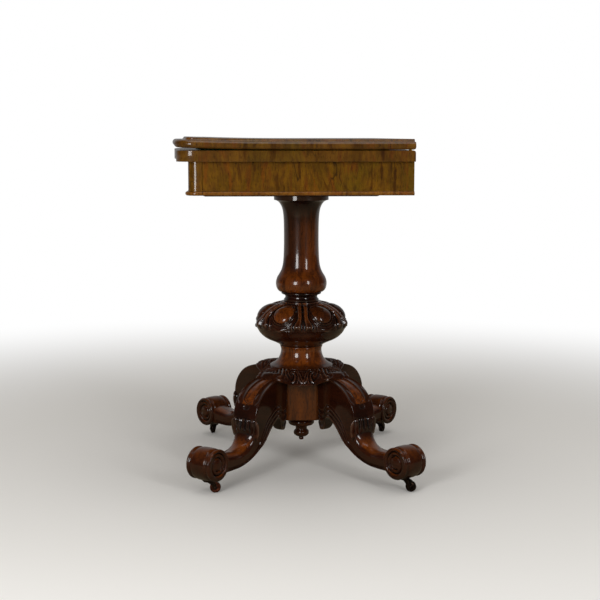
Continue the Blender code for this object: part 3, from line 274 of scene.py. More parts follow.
@dataclass(frozen=True)
class CarvedWalnut:
    """Carved or turned solid walnut, French polished: dark red-brown, wax and painted shade in its hollows.

    High spots and broad faces, where hands and dusters wear the polish, show orange-brown, and lit sides and
    upper faces show it too as painted light. Hollows are close to black, partly wax and partly painted shade;
    sharp arrises are pale, partly worn polish and partly a painted highlight. The gloss is high on the faces
    and dull in the hollows. Streaks are 9 mm apart across the grain, and the pores 1.4 mm, drawn coarse so
    that they show.
    """

    name: str
    source: GrainSource = GrainSource.MAP
    hollow: str = "#070302"
    deep: str = "#170704"
    body: str = "#2D1007"
    rubbed_and_lit: str = "#73390E"
    bright: str = "#7A5844"

    def build(self) -> Finish:
        """Make the material."""
        material, tree = new_material(self.name)
        mapped = self.source is GrainSource.MAP
        if mapped:
            place, wear, rub_and_light = (
                add_node(tree, "Attribute", attribute_name=name).outputs[output]
                for name, output in (("grain", "Vector"), ("wear", "Fac"), ("rub_and_light", "Fac")))
        else:
            place = add_node(tree, "TexCoord").outputs["Object"]
        along = add_node(tree, "Mapping", {"Vector": place, "Scale": Grain.UPRIGHT.value})
        streaks = noise(tree, along, 110.0, 4.0, 0.6, 0.5)
        pores = noise(tree, along, 700.0, 1.0)
        clouds = noise(tree, along, 22.0, 3.0)
        dark = tinted(tree, self.deep, ("MIX", clouds, (0.35, 0.65, 0.0, 1.0), self.body))
        light = tinted(tree, self.body, ("MIX", streaks, (0.3, 0.62, 0.25, 1.0), self.rubbed_and_lit))
        # Mapped pieces put orange-brown by the stored share: wear on high spots, painted light on lit faces.
        amount = (rub_and_light, ()) if mapped else (clouds, (0.3, 0.6, 0.6, 1.0))
        colour = tinted(tree, dark, ("MIX", *amount, light),
                        ("MULTIPLY", pores, (0.55, 0.68, 0.0, 0.6), "#6A3A20"))
        rough = (streaks, 0.3, 0.7, 0.34, 0.28)
        # Pale arrises: worn polish and a painted highlight. Near-black hollows: wax and painted shade.
        if mapped:
            colour = tinted(tree, colour, ("MIX", wear, (0.75, 1.0, 0.0, 0.3), self.bright),
                            ("MIX", wear, (0.42, 0.12, 0.0, 0.92), self.hollow))
            rough = (wear, 0.15, 0.6, 0.55, 0.3)
        return close_material(material, pores, 0.1, 0.2, {
            "IOR": 1.5, "Coat Weight": 0.85, "Coat Roughness": 0.06, "Coat IOR": 1.5,
            "Specular IOR Level": 0.12, "Base Color": colour,
            "Roughness": add_node(tree, "MapRange", rough, **SMOOTH)})


@dataclass(frozen=True)
class PlanedPine:
    """Planed pine of the carcase's hidden parts: pale yellow-brown bands some 10 mm apart, aged and bare."""

    name: str
    grain: Grain = Grain.WIDE

    def build(self) -> Finish:
        """Make the material."""
        material, tree = new_material(self.name)
        place = add_node(tree, "TexCoord").outputs["Object"]
        along = add_node(tree, "Mapping", {"Vector": place, "Scale": self.grain.value})
        bands = noise(tree, along, 95.0, 3.0, distortion=0.4)
        fibres = noise(tree, along, 900.0, 2.0)
        grime = noise(tree, place, 14.0, 3.0)
        base = add_node(tree, "ValToRGB", (bands,),
                        stops=((0.34, "#7C5223"), (0.5, "#A37841"), (0.66, "#B98F55")))
        return close_material(material, fibres, 0.25, 0.2, {
            "IOR": 1.45, "Specular IOR Level": 0.3,
            "Base Color": tinted(tree, base, ("MULTIPLY", grime, (0.45, 0.7, 0.0, 0.6), "#8A6A44")),
            "Roughness": add_node(tree, "MapRange", (fibres, 0.3, 0.7, 0.8, 0.6), **SMOOTH)})


@dataclass(frozen=True)
class WoolBaize:
    """Green wool baize, felted and glued down: a soft nap, worn paler in patches some 100 mm across.

    Its threads are 0.4 mm and don't show, so the nap is drawn as tufts of 1 mm.
    """

    name: str
    body: str = "#1F4A2B"
    worn: str = "#3C6A3C"

    def build(self) -> Finish:
        """Make the material."""
        material, tree = new_material(self.name)
        place = add_node(tree, "TexCoord").outputs["Object"]
        nap = noise(tree, place, 1100.0, 3.0)
        wear = noise(tree, place, 9.0, 4.0)
        return close_material(material, nap, 0.5, 0.3, {
            "IOR": 1.4, "Roughness": 0.95, "Specular IOR Level": 0.15, "Sheen Weight": 0.35,
            "Sheen Roughness": 0.5, "Sheen Tint": "#8FB08A",
            "Base Color": tinted(tree, self.body, ("MIX", wear, (0.42, 0.72, 0.0, 0.7), self.worn),
                                 ("MULTIPLY", nap, (0.35, 0.6, 0.6, 0.0), "#8FA08A"))})


@dataclass(frozen=True)
class AgedMetal:
    """A worn, handled metal: brass, bronze or wrought iron, brighter where it rubs and dull in its tarnish.

    Tarnish comes in clouds of 5 mm, and fine scratches under 1 mm apart break up the gloss.
    """

    name: str
    clean: str
    tarnish: str
    smooth: float
    rough: float

    def build(self) -> Finish:
        """Make the material."""
        material, tree = new_material(self.name)
        place = add_node(tree, "TexCoord").outputs["Object"]
        clouds = noise(tree, place, 190.0, 4.0, 0.6)
        fine = noise(tree, place, 1400.0, 2.0)
        return close_material(material, fine, 0.3, 0.1, {
            "Metallic": 1.0,
            "Base Color": tinted(tree, self.clean, ("MIX", clouds, (0.38, 0.62, 0.0, 1.0), self.tarnish)),
            "Roughness": add_node(tree, "MapRange", (clouds, 0.35, 0.65, self.smooth, self.rough), **SMOOTH)})


@dataclass(frozen=True)
class PaleFloor:
    """A plain pale studio floor that runs out to white, so that only the table's shadow shows on it.

    The light that it throws back up is that of old boards, as under the real table, and the polish mirrors
    its white only behind the table.
    """

    name: str
    near: str = "#F3F1ED"
    bounce: str = "#8C8068"
    clear_radius: float = 0.7
    white_radius: float = 2.4
    mirrored_from: float = -0.4
    mirrored_to: float = -1.4
    mirrored_share: float = 0.25

    def build(self) -> Finish:
        """Make the material."""
        material, tree = new_material(self.name)
        place = add_node(tree, "TexCoord").outputs["Object"]
        away = add_node(tree, "VectorMath", (place,), operation="LENGTH").outputs["Value"]
        far = add_node(tree, "MapRange", (away, self.clear_radius, self.white_radius, 0.0, 1.0), **SMOOTH)
        depth = add_node(tree, "SeparateXYZ", (place,))
        behind = add_node(tree, "MapRange", (depth, self.mirrored_from, self.mirrored_to, 0.0,
                                             self.mirrored_share), **SMOOTH)
        seen = seen_rays(tree, behind)
        shader = add_node(tree, "BsdfPrincipled", {
            "Base Color": tinted(tree, self.bounce, ("MIX", seen, (), self.near)), "Roughness": 0.9,
            "Specular IOR Level": 0.0})
        both = add_node(tree, "Math", (far, seen), operation="MULTIPLY")
        white = add_node(tree, "Emission", {"Color": "#FFFFFF", "Strength": 1.0})
        add_node(tree, "OutputMaterial", (add_node(tree, "MixShader", (both, shader, white)),))
        return material


def seen_rays(tree: Tree, behind: Feed) -> bpy.types.Node:
    """Give one for camera and transmission rays, the share behind for glossy rays, else nought."""
    rays = add_node(tree, "LightPath").outputs
    direct = add_node(tree, "Math", (rays["Is Camera Ray"], rays["Is Transmission Ray"]), operation="MAXIMUM")
    mirrored = add_node(tree, "Math", (rays["Is Glossy Ray"], behind), operation="MULTIPLY")
    return add_node(tree, "Math", (direct, mirrored), operation="MAXIMUM")


def select_only(*pieces: Piece) -> None:
    """Leave edit mode and select nothing but the given pieces, the first of them active."""
    if bpy.context.mode != "OBJECT":
        bpy.ops.object.mode_set(mode="OBJECT")
    bpy.ops.object.select_all(action="DESELECT")
    for piece in pieces:
        piece.select_set(True)
    if pieces:
        bpy.context.view_layer.objects.active = pieces[0]


@contextmanager
def editing(piece: Piece) -> Iterator[None]:
    """Open a piece in edit mode with all of it selected, and leave edit mode at the end."""
    select_only(piece)
    bpy.ops.object.mode_set(mode="EDIT")
    bpy.ops.mesh.select_all(action="SELECT")
    try:
        yield
    finally:
        bpy.ops.object.mode_set(mode="OBJECT")


def smooth_run(points: Sequence[Sequence[float]], steps: int) -> list[tuple[float, ...]]:
    """Draw a smooth curve through a run of points.

    Args:
        points: The points to pass through, of any number of coordinates.
        steps: How many steps to take between one point and the next.

    Returns:
        The points of the curve, the first and last among them.
    """
    padded = [points[0], *points, points[-1]]
    curve = [tuple(points[0])]
    for before, start, end, after in zip(padded, padded[1:], padded[2:], padded[3:]):
        for k in range(1, steps + 1):
            t = k / steps
            curve.append(tuple(
                0.5 * (2 * b + (c - a) * t + (2 * a - 5 * b + 4 * c - d) * t * t
                       + (3 * b - a - 3 * c + d) * t ** 3)
                for a, b, c, d in zip(before, start, end, after)))
    return curve


def lengths_along(points: Sequence[Sequence[float]]) -> list[float]:
    """Return how far along a run each of its points lies, measured by its first two coordinates."""
    lengths = [0.0]
    for a, b in zip(points, points[1:]):
        lengths.append(lengths[-1] + math.dist(a[:2], b[:2]))
    return lengths


def point_along(points: Sequence[Sequence[float]], lengths: Sequence[float], run: float) -> list[float]:
    """Return the coordinates at one place along a run."""
    return [float(np.interp(run, lengths, column)) for column in zip(*points)]


def profile(*runs: Sequence[Pair], steps: int = 5) -> list[Pair]:
    """Join runs of (radius, height) points in millimetres into one outline, each run smooth in itself."""
    outline: list[Pair] = []
    for run in runs:
        curve = smooth_run(run, steps) if len(run) > 2 else [tuple(p) for p in run]
        outline += [(r * MM, z * MM) for r, z in curve if not outline
                    or math.hypot(r * MM - outline[-1][0], z * MM - outline[-1][1]) > 1e-6]
    return outline


def step_between(value: float, low: float, high: float) -> float:
    """Rise smoothly from nought at low to one at high."""
    share = min(1.0, max(0.0, (value - low) / (high - low)))
    return share * share * (3 - 2 * share)


def bump_at(value: float, centre: float, half: float) -> float:
    """Return a rounded ridge of height one, centred and with the given half width."""
    share = abs(value - centre) / half
    return 0.0 if share >= 1 else math.cos(0.5 * math.pi * share) ** 2


def plateau(value: float, low: float, high: float) -> float:
    """Return one between two places and nought outside them, with edges 2 mm soft, all in millimetres."""
    return step_between(value, low - 1.0, low + 1.0) * step_between(value, high + 1.0, high - 1.0)


def in_metres(pairs: Sequence[Pair]) -> list[Pair]:
    """Turn pairs of millimetres into metres."""
    return [(a * MM, b * MM) for a, b in pairs]


def turned(name: str, outline: Sequence[Pair], sides: int,
           axis: Sequence[float] = (0.0, 0.0)) -> Piece:
    """Turn a form as on a lathe: a disc at its foot, extruded and resized up its outline.

    Args:
        name: The new object's name.
        outline: Radius and height pairs from the foot up; a last radius of nought closes to a point.
        sides: How many sides the turning has.
        axis: The upright axis's place, by its first two numbers.

    Returns:
        The closed form.
    """
    select_only()
    radius, height = outline[0]
    bpy.ops.mesh.primitive_circle_add(vertices=sides, radius=radius, fill_type="NGON",
                                      location=(*axis[:2], height))
    piece = bpy.context.object
    piece.name = name
    with editing(piece):
        for next_radius, next_height in outline[1:]:
            bpy.ops.mesh.extrude_region_move(
                TRANSFORM_OT_translate={"value": (0.0, 0.0, next_height - height)})
            if next_radius <= 1e-6:
                bpy.ops.mesh.merge(type="CENTER")
                break
            if abs(next_radius - radius) > 1e-7:
                scale = next_radius / radius
                bpy.ops.transform.resize(value=(scale, scale, 1.0),
                                         center_override=(*axis[:2], next_height))
            radius, height = next_radius, next_height
        bpy.ops.mesh.select_all(action="SELECT")
        bpy.ops.mesh.normals_make_consistent(inside=False)
    bpy.ops.object.transform_apply(location=True, rotation=True, scale=True)
    return piece


def stacked(name: str, rings: Sequence[Ring], closed: bool = False) -> Piece:
    """Extrude an outline from ring to ring, each ring's points moved to their own places.

    Args:
        name: The new object's name.
        rings: The rings in order, all with the same number of points.
        closed: Whether the last ring joins the first, as round a hoop; otherwise both ends are filled.

    Returns:
        The closed form.
    """
    select_only()
    count = len(rings[0])
    bpy.ops.mesh.primitive_circle_add(vertices=count, radius=1.0, fill_type="NOTHING" if closed else "NGON")
    piece = bpy.context.object
    piece.name = name
    with editing(piece):
        mesh = bmesh.from_edit_mesh(piece.data)
        mesh.verts.ensure_lookup_table()
        current = list(range(count))
        for index, point in zip(current, rings[0]):
            mesh.verts[index].co = point
        for ring in rings[1:]:
            bpy.ops.mesh.extrude_region_move()
            mesh = bmesh.from_edit_mesh(piece.data)
            mesh.verts.ensure_lookup_table()
            following = []
            for index in current:
                vert = mesh.verts[index]
                twins = (edge.other_vert(vert) for edge in vert.link_edges)
                following.append(next(twin.index for twin in twins if twin.select))
            for index, point in zip(following, ring):
                mesh.verts[index].co = point
            current = following
        bmesh.update_edit_mesh(piece.data)
        bpy.ops.mesh.select_all(action="SELECT")
        if closed:
            bpy.ops.mesh.select_all(action="DESELECT")
            mesh = bmesh.from_edit_mesh(piece.data)
            for edge in mesh.edges:
                if edge.is_boundary:
                    edge.select = True
            mesh.select_flush(True)
            bpy.ops.mesh.bridge_edge_loops()
            bpy.ops.mesh.select_all(action="SELECT")
        bpy.ops.mesh.normals_make_consistent(inside=False)
    return piece


def slab(name: str, outline: Sequence[Pair], low: float, high: float, axis: str = "Z") -> Piece:
    """Extrude a flat outline between two places along an axis.

    Args:
        name: The new object's name.
        outline: The outline in the other two axes.
        low: Where it starts.
        high: Where it ends.
        axis: The letter of the axis.

    Returns:
        The closed form.
    """
    where = "XYZ".index(axis)
    return stacked(name, [[Vector((*point[:where], place, *point[where:])) for point in outline]
                          for place in (low, high)])


def wrapped(name: str, around: int, along: int, place: Callable[[float, float], Vector]) -> Piece:
    """Wrap a fine grid round a carved form, close its seam and fill its two ends.

    Args:
        name: The new object's name.
        around: How many faces go round the form.
        along: How many faces go along it.
        place: Gives the surface's point for shares round and along it, each from nought to one.

    Returns:
        The closed form.
    """
    select_only()
    bpy.ops.mesh.primitive_grid_add(x_subdivisions=around, y_subdivisions=along, size=1.0)
    piece = bpy.context.object
    piece.name = name
    mesh = piece.data
    flat = np.empty(len(mesh.vertices) * 3)
    mesh.vertices.foreach_get("co", flat)
    shares = flat.reshape(-1, 3)[:, :2] + 0.5
    moved = np.array([place(u, v) for u, v in shares])
    mesh.vertices.foreach_set("co", moved.ravel())
    mesh.update()
    with editing(piece):
        bpy.ops.mesh.remove_doubles(threshold=1e-5)
        bpy.ops.mesh.fill_holes(sides=0)
        bpy.ops.mesh.normals_make_consistent(inside=False)
    return piece


def cut_with(piece: Piece, *tools: Piece, join: bool = False) -> None:
    """Cut tools out of a piece with applied Boolean modifiers, or join them to it, and clear the tools away.

    Args:
        piece: The piece to work on.
        tools: The forms to cut away or to join.
        join: Whether the tools are joined on instead of cut away.
    """
    for tool in tools:
        select_only(piece)
        modifier = piece.modifiers.new("work", "BOOLEAN")
        modifier.operation = "UNION" if join else "DIFFERENCE"
        modifier.solver = "EXACT"
        modifier.object = tool
        bpy.ops.object.modifier_apply(modifier=modifier.name)
        bpy.data.objects.remove(tool)


def rounded(piece: Piece, width: float, segments: int = 2, angle: float = 40.0) -> None:
    """Round a piece's sharper edges with an applied Bevel modifier."""
    select_only(piece)
    modifier = piece.modifiers.new("edges", "BEVEL")
    modifier.width = width
    modifier.segments = segments
    modifier.limit_method = "ANGLE"
    modifier.angle_limit = math.radians(angle)
    bpy.ops.object.modifier_apply(modifier=modifier.name)


def block(name: str, low: Sequence[float], high: Sequence[float]) -> Piece:
    """Add a block between two corners."""
    select_only()
    centre = [(a + b) / 2 for a, b in zip(low, high)]
    bpy.ops.mesh.primitive_cube_add(size=1.0, location=centre, scale=[b - a for a, b in zip(low, high)])
    bpy.context.object.name = name
    bpy.ops.object.transform_apply(location=True, rotation=True, scale=True)
    return bpy.context.object


def joined(name: str, *pieces: Piece) -> Piece:
    """Join pieces into one object."""
    select_only(*pieces)
    bpy.ops.object.join()
    pieces[0].name = name
    return pieces[0]


def turn_about(piece: Piece, angle: float, axis: str, centre: Sequence[float]) -> None:
    """Turn all of a piece's mesh about an axis through a point."""
    spun = Matrix.Translation(centre) @ Matrix.Rotation(angle, 4, axis) @ Matrix.Translation(-Vector(centre))
    piece.data.transform(spun)


def lying(name: str, outline: Sequence[Pair], sides: int, about: str,
          centre: Sequence[float] = (0.0, 0.0, 0.0)) -> Piece:
    """Turn a form on the lathe and lay it on its side.

    Args:
        name: The new object's name.
        outline: Radius and height pairs.
        sides: How many sides the turning has.
        about: The axis it is tipped about: Y lays it along X, and X along Y.
        centre: Where its own origin goes.

    Returns:
        The closed form.
    """
    piece = turned(name, outline, sides)
    turn_about(piece, 0.5 * math.pi, about, (0.0, 0.0, 0.0))
    piece.data.transform(Matrix.Translation(centre))
    return piece


def copied(piece: Piece, name: str) -> Piece:
    """Copy a piece with a mesh of its own."""
    twin = piece.copy()
    twin.data = piece.data.copy()
    twin.name = name
    bpy.context.scene.collection.objects.link(twin)
    return twin


def weather(piece: Piece, reach: float, rounds: int = 6) -> None:
    """Store how proud each point stands: a half on the flat, less in a hollow, more on a ridge.

    Args:
        piece: The finished form, before it is placed on its body.
        reach: The height in metres that counts as full wear or full shelter.
        rounds: How many times the surroundings are smoothed; more rounds look further.
    """
    mesh = piece.data
    count = len(mesh.vertices)
    points, normals = np.empty((2, count * 3))
    mesh.vertices.foreach_get("co", points)
    mesh.vertices.foreach_get("normal", normals)
    points, normals = points.reshape(-1, 3), normals.reshape(-1, 3)
    ends = np.empty(len(mesh.edges) * 2, dtype=np.int64)
    mesh.edges.foreach_get("vertices", ends)
    first, second = ends.reshape(-1, 2).T
    degree = np.bincount(ends, minlength=count).reshape(-1, 1)
    around = points.copy()
    for _ in range(rounds):
        total = np.stack([
            np.bincount(first, column[second], count) + np.bincount(second, column[first], count)
            for column in around.T], axis=1)
        around = 0.5 * around + 0.5 * total / np.maximum(degree, 1)
    proud = ((points - around) * normals).sum(axis=1)
    wear = np.clip(0.5 + 0.5 * proud / reach, 0.0, 1.0)
    # The carved walnut reads this share for wear and wax, and for painted highlight and painted shade.
    layer = mesh.attributes.new("wear", "FLOAT", "POINT")
    layer.data.foreach_set("value", wear.astype(np.float32))


def lay_grain(piece: Piece, to_grain: Matrix) -> None:
    """Store each point's place in the wood, with the grain along Z."""
    layer = piece.data.attributes.new("grain", "FLOAT_VECTOR", "POINT")
    places = [c for vert in piece.data.vertices for c in to_grain @ vert.co]
    layer.data.foreach_set("vector", places)


def note_rubbing_and_light(piece: Piece, rule: Callable[[Vector, Vector], float]) -> None:
    """Store how bright each point is drawn, by its place and normal: for handled wear and as painted light.
    """
    shares = [rule(vert.co, vert.normal) for vert in piece.data.vertices]
    piece.data.attributes.new("rub_and_light", "FLOAT", "POINT").data.foreach_set("value", shares)


def finish_piece(piece: Piece, body: Body | str, slot: Slot, *finishes: Finish,
                 stands_for: Sequence[str] = (), smooth: float = 35.0) -> Piece:
    """Dress a finished form, place it on its body and report it.

    Args:
        piece: The form, made at its place.
        body: The body that it rides on.
        slot: The record's material slot; not used.
        finishes: Its materials, in the order of its material numbers.
        stands_for: The CAD nodes that it replaces.
        smooth: The angle in degrees under which edges are shaded smooth.

    Returns:
        The same piece.
    """
    select_only(piece)
    bpy.ops.object.transform_apply(location=True, rotation=True, scale=True)
    bpy.ops.object.shade_smooth_by_angle(angle=math.radians(smooth))
    numbers = [polygon.material_index for polygon in piece.data.polygons]
    piece.data.materials.clear()
    for finish in finishes:
        piece.data.materials.append(finish)
    piece.data.polygons.foreach_set("material_index", numbers)
    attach(piece, body.value if isinstance(body, Body) else body)
    if stands_for:
        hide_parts(*stands_for)
    log.info("%s: %d faces on %s", piece.name, len(piece.data.polygons), body)
    return piece


def dress_node(name: str, finish: Finish) -> None:
    """Give a CAD node that keeps its shape its finish."""
    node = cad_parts[name]
    for holder in node.material_slots:
        holder.material = finish
    log.info("%s: kept, in %s", name, finish.name)


def pedestal_axis() -> Vector:
    """Return the foot of the pedestal's axis, from the CAD model."""
    low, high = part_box("column")
    return Vector(((low.x + high.x) / 2, (low.y + high.y) / 2, 0.0))


@dataclass(frozen=True)
class Serpentine:
    """A board's plan: straight back, square back corners, rounded front corners and a serpentine front."""

    half_width: float
    back: float
    end_depth: float
    bulge: float
    corner: float
    trough: float = 0.80
    waves: int = 26
    turns: int = 8

    def front_y(self, x: float, inset: float) -> float:
        """Return the front edge's place in depth at one place along the width."""
        end_wave = math.cos(math.pi / self.trough)
        swing = self.bulge / (1 - end_wave)
        middle = self.end_depth + self.bulge - swing
        share = x / (self.half_width - inset)
        return self.back - middle - swing * math.cos(math.pi * share / self.trough) + inset

    def corner_centre(self, inset: float) -> tuple[float, float, float]:
        """Return the right front corner's centre and radius."""
        radius = max(self.corner - inset, self.corner / 8)
        x = self.half_width - inset - radius
        return x, self.front_y(x, inset) + radius, radius

    def butt_y(self) -> float:
        """Return where the front ends and the straight sides begin."""
        return self.corner_centre(0.0)[1] + self.corner / 2

    def front_path(self, inset: float = 0.0) -> list[Pair]:
        """Return the front edge with its rounded corners, from left to right."""
        x, y, radius = self.corner_centre(inset)
        left = arc((-x, y), radius, math.pi, 1.5 * math.pi, self.turns)
        right = arc((x, y), radius, -0.5 * math.pi, 0.0, self.turns)
        places = [x * k / self.waves for k in range(1 - self.waves, self.waves)]
        end = (self.half_width - inset, self.butt_y())
        return [(-end[0], end[1]), *left, *((p, self.front_y(p, inset)) for p in places), *right, end]

    def outline(self, inset: float = 0.0, back_inset: float = 0.0) -> list[Pair]:
        """Return the whole plan, counter-clockwise."""
        half = self.half_width - inset
        back = self.back - back_inset
        return [(-half, back), *self.front_path(inset), (half, back)]


def arc(centre: Pair, radius: float, start: float, end: float, steps: int) -> list[Pair]:
    """Return the points of an arc, ends included."""
    angles = (start + (end - start) * k / steps for k in range(steps + 1))
    return [(centre[0] + radius * math.cos(a), centre[1] + radius * math.sin(a)) for a in angles]


def flat_area(outline: Sequence[Pair]) -> float:
    """Return the area inside a plan outline."""
    pairs = zip(outline, [*outline[1:], outline[0]])
    return abs(sum(a[0] * b[1] - b[0] * a[1] for a, b in pairs)) / 2


def screw_head(name: str, place: Vector, radius: float, down: bool) -> Piece:
    """Make a countersunk slotted screw head, its face 0.1 mm proud.

    Args:
        name: The new object's name.
        place: The middle of the face that it is driven into.
        radius: The head's radius.
        down: Whether the face looks down.

    Returns:
        The head.
    """
    outline = [(radius * 0.6, -1.1 * MM), (radius, -0.2 * MM), (radius, 0.0), (radius * 0.93, 0.1 * MM)]
    head = turned(name, outline, 20)
    cut_with(head, block("slot", (-radius * 1.2, -0.3 * MM, -0.4 * MM), (radius * 1.2, 0.3 * MM, MM)))
    # Each slot stopped where its screw came tight, so no two stand alike.
    turn_about(head, 0.6 + place.x * 40 + place.y * 90, "Z", (0.0, 0.0, 0.0))
    if down:
        turn_about(head, math.pi, "X", (0.0, 0.0, 0.0))
    head.data.transform(Matrix.Translation(place))
    return head


@dataclass
class FoldingTop:
    """The two leaves of the top with their linings and link hinges."""

    field_veneer: Finish
    border_veneer: Finish
    moulding: Finish
    brass: Finish
    iron: Finish
    cloth: Finish
    half_width: float = 457 * MM
    end_depth: float = 455.5 * MM
    bulge: float = 22.5 * MM
    corner: float = 36 * MM
    overhang: float = 4 * MM
    play_height: float = 711 * MM
    leaf_gap: float = 1.5 * MM
    nose_radius: float = 7.25 * MM
    arris: float = 4.5 * MM
    cup_lift: float = 5.5 * MM
    cup_start: float = -30 * MM
    cup_lines: int = 14
    baize_border: float = 46 * MM
    recess: float = 1.2 * MM
    lip_fall: float = 0.3 * MM
    cloth_thickness: float = 1.6 * MM
    hinge_inset: float = 52 * MM
    plate: tuple[float, float, float] = (14 * MM, 40 * MM, 2.2 * MM)
    knuckle_radius: float = 4.2 * MM
    knuckle_depth: float = 8.5 * MM
    link: Pair = (3 * MM, 4.5 * MM)
    pin: Pair = (1.3 * MM, 11 * MM)
    screw_places: Pair = (16 * MM, 32 * MM)
    screw_radius: float = 2.6 * MM
    plate_screw: Pair = (3.4 * MM, 9 * MM)
    axis_y: float = field(init=False)
    back: float = field(init=False)

    def __post_init__(self) -> None:
        """Take the table's middle and its hinge edge from the CAD model."""
        self.axis_y = pedestal_axis().y
        self.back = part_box("upper_leaf")[1].y

    def arris_inset(self, height: float) -> float:
        """Return how far the rounded hinge arris stands in, at a height from the playing face."""
        if height >= self.arris:
            return 0.0
        return self.arris - math.sqrt(self.arris ** 2 - (self.arris - height) ** 2)

    def cup_span(self) -> Pair:
        """Return where in depth the upper leaf's cup starts, and where it ends at the front."""
        return self.axis_y + self.cup_start, self.back - self.end_depth - self.bulge - self.overhang

    def lift(self, y: float) -> float:
        """Return how far the cupped upper leaf has risen at one depth."""
        start, front = self.cup_span()
        share = max(0.0, (start - y) / (start - front))
        return self.cup_lift * share * share

    def cup(self, piece: Piece) -> None:
        """Bisect a flat board into strips across its depth and raise each by the cup's lift."""
        start, front = self.cup_span()
        with editing(piece):
            for k in range(self.cup_lines):
                line = start + (front - start) * k / self.cup_lines
                bpy.ops.mesh.select_all(action="SELECT")
                bpy.ops.mesh.bisect(plane_co=(0.0, line, 0.0), plane_no=(0.0, 1.0, 0.0))
        for vert in piece.data.vertices:
            vert.co.z += self.lift(vert.co.y)

    def lining_plan(self, clearance: float = 0.0) -> Serpentine:
        """Return the plan of the cloth lining, inside its veneered border."""
        border = self.baize_border - clearance
        return Serpentine(self.half_width - self.overhang - border, self.back - border,
                          self.end_depth - 2 * border, self.bulge, 10 * MM)

    def hinge_beds(self, upper: bool) -> list[Piece]:
        """Make the blocks that sink both hinges into a leaf's playing face."""
        half = self.plate[0] / 2 + SEAT_GAP
        front = self.back - self.plate[1] - SEAT_GAP
        root = self.back - self.arris - self.knuckle_radius - SEAT_GAP
        beds = []
        for side in (-1, 1):
            middle = self.hinge_middle(side)
            for near, depth in ((front, self.plate[2]), (root, self.knuckle_depth)):
                low, high = sorted((self.face(upper) - self.inward(upper) * MM,
                                    self.face(upper) + self.inward(upper) * (depth + SEAT_GAP)))
                beds.append(block("bed", (middle - half, near, low), (middle + half, self.back + MM, high)))
        return beds

    def face(self, upper: bool) -> float:
        """Return the height of a leaf's playing face when the top is shut."""
        return self.play_height + self.leaf_gap if upper else self.play_height

    def inward(self, upper: bool) -> int:
        """Return the way from a leaf's playing face into its wood."""
        return 1 if upper else -1

    def hinge_middle(self, side: int) -> float:
        """Return a hinge's place along the width."""
        return side * (self.half_width - self.hinge_inset)

    def leaf_body(self, upper: bool) -> Body:
        """Return the body that a leaf moves with."""
        return Body.FLAP if upper else Body.TOP

    def build_upper_leaf(self) -> Piece:
        """Make the upper leaf: a half-round nose, a shallow cove and a small raised lip round its top."""
        plan = Serpentine(self.half_width, self.back, self.end_depth + self.overhang, self.bulge,
                          self.corner + self.overhang)
        nose = self.nose_radius
        edge = [(nose * (1 - math.cos(a)), nose * (1 + math.sin(a)))
                for a in (math.pi * (k / 14 - 0.5) for k in range(15))]
        edge += in_metres((
            (7.7, 14.3), (8.1, 13.95), (9.5, 13.8), (12.5, 13.8), (16.0, 14.05), (19.0, 14.6), (21.4, 15.5),
            (22.8, 16.5), (23.3, 17.1), (23.35, 17.9), (23.7, 18.8), (24.3, 19.5), (25.1, 19.9),
            (26.0, 20.0)))
        base = self.face(True)
        rings = [[Vector((x, y, base + z)) for x, y in plan.outline(inset, self.arris_inset(z))]
                 for inset, z in edge]
        leaf = stacked("leaf_upper", rings)
        recess = slab("recess", self.lining_plan(SEAT_GAP).outline(), base - MM, base + self.recess)
        cut_with(leaf, recess, *self.hinge_beds(True))
        self.cup(leaf)
        top = base + edge[-1][1] - self.lip_fall
        for polygon in leaf.data.polygons:
            if polygon.normal.z > 0.9 and polygon.center.z - self.lift(polygon.center.y) > top:
                polygon.material_index = 0
            elif polygon.normal.z < -0.9:
                polygon.material_index = 1
            else:
                polygon.material_index = 2
        return finish_piece(leaf, Body.FLAP, Slot.WALNUT_TOP, self.field_veneer, self.border_veneer,
                            self.moulding, stands_for=["upper_leaf"], smooth=30)

    def build_lower_leaf(self) -> Piece:
        """Make the lower leaf: square-edged, its hinge arris rounded, sunk for the lining and the plate."""
        plan = Serpentine(self.half_width - self.overhang, self.back, self.end_depth, self.bulge, self.corner)
        face = self.face(False)
        edge = in_metres((
            (0.7, 21.0), (0.2, 20.8), (0.0, 20.3), (0.0, 4.5), (0.0, 3.4), (0.0, 2.4), (0.0, 1.6), (0.0, 1.0),
            (0.15, 0.5), (0.4, 0.2), (0.9, 0.0)))
        rings = []
        for inset, drop in edge:
            back_inset = self.arris_inset(drop) if drop < 10 * MM else inset
            rings.append([Vector((x, y, face - drop)) for x, y in plan.outline(inset, back_inset)])
        leaf = stacked("leaf_lower", rings)
        recess = slab("recess", self.lining_plan(SEAT_GAP).outline(), face - self.recess, face + MM)
        low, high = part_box("pivot_plate")
        gap = Vector((SEAT_GAP, SEAT_GAP, 0.0))
        bed = block("bed", low - gap - Vector((0.0, 0.0, MM)), high + gap + Vector((0.0, 0.0, SEAT_GAP)))
        cut_with(leaf, recess, bed, *self.hinge_beds(False))
        for polygon in leaf.data.polygons:
            polygon.material_index = 0 if abs(polygon.normal.z) > 0.9 else 1
        return finish_piece(leaf, Body.TOP, Slot.WALNUT_TOP, self.border_veneer, self.moulding,
                            stands_for=["lower_leaf"], smooth=30)

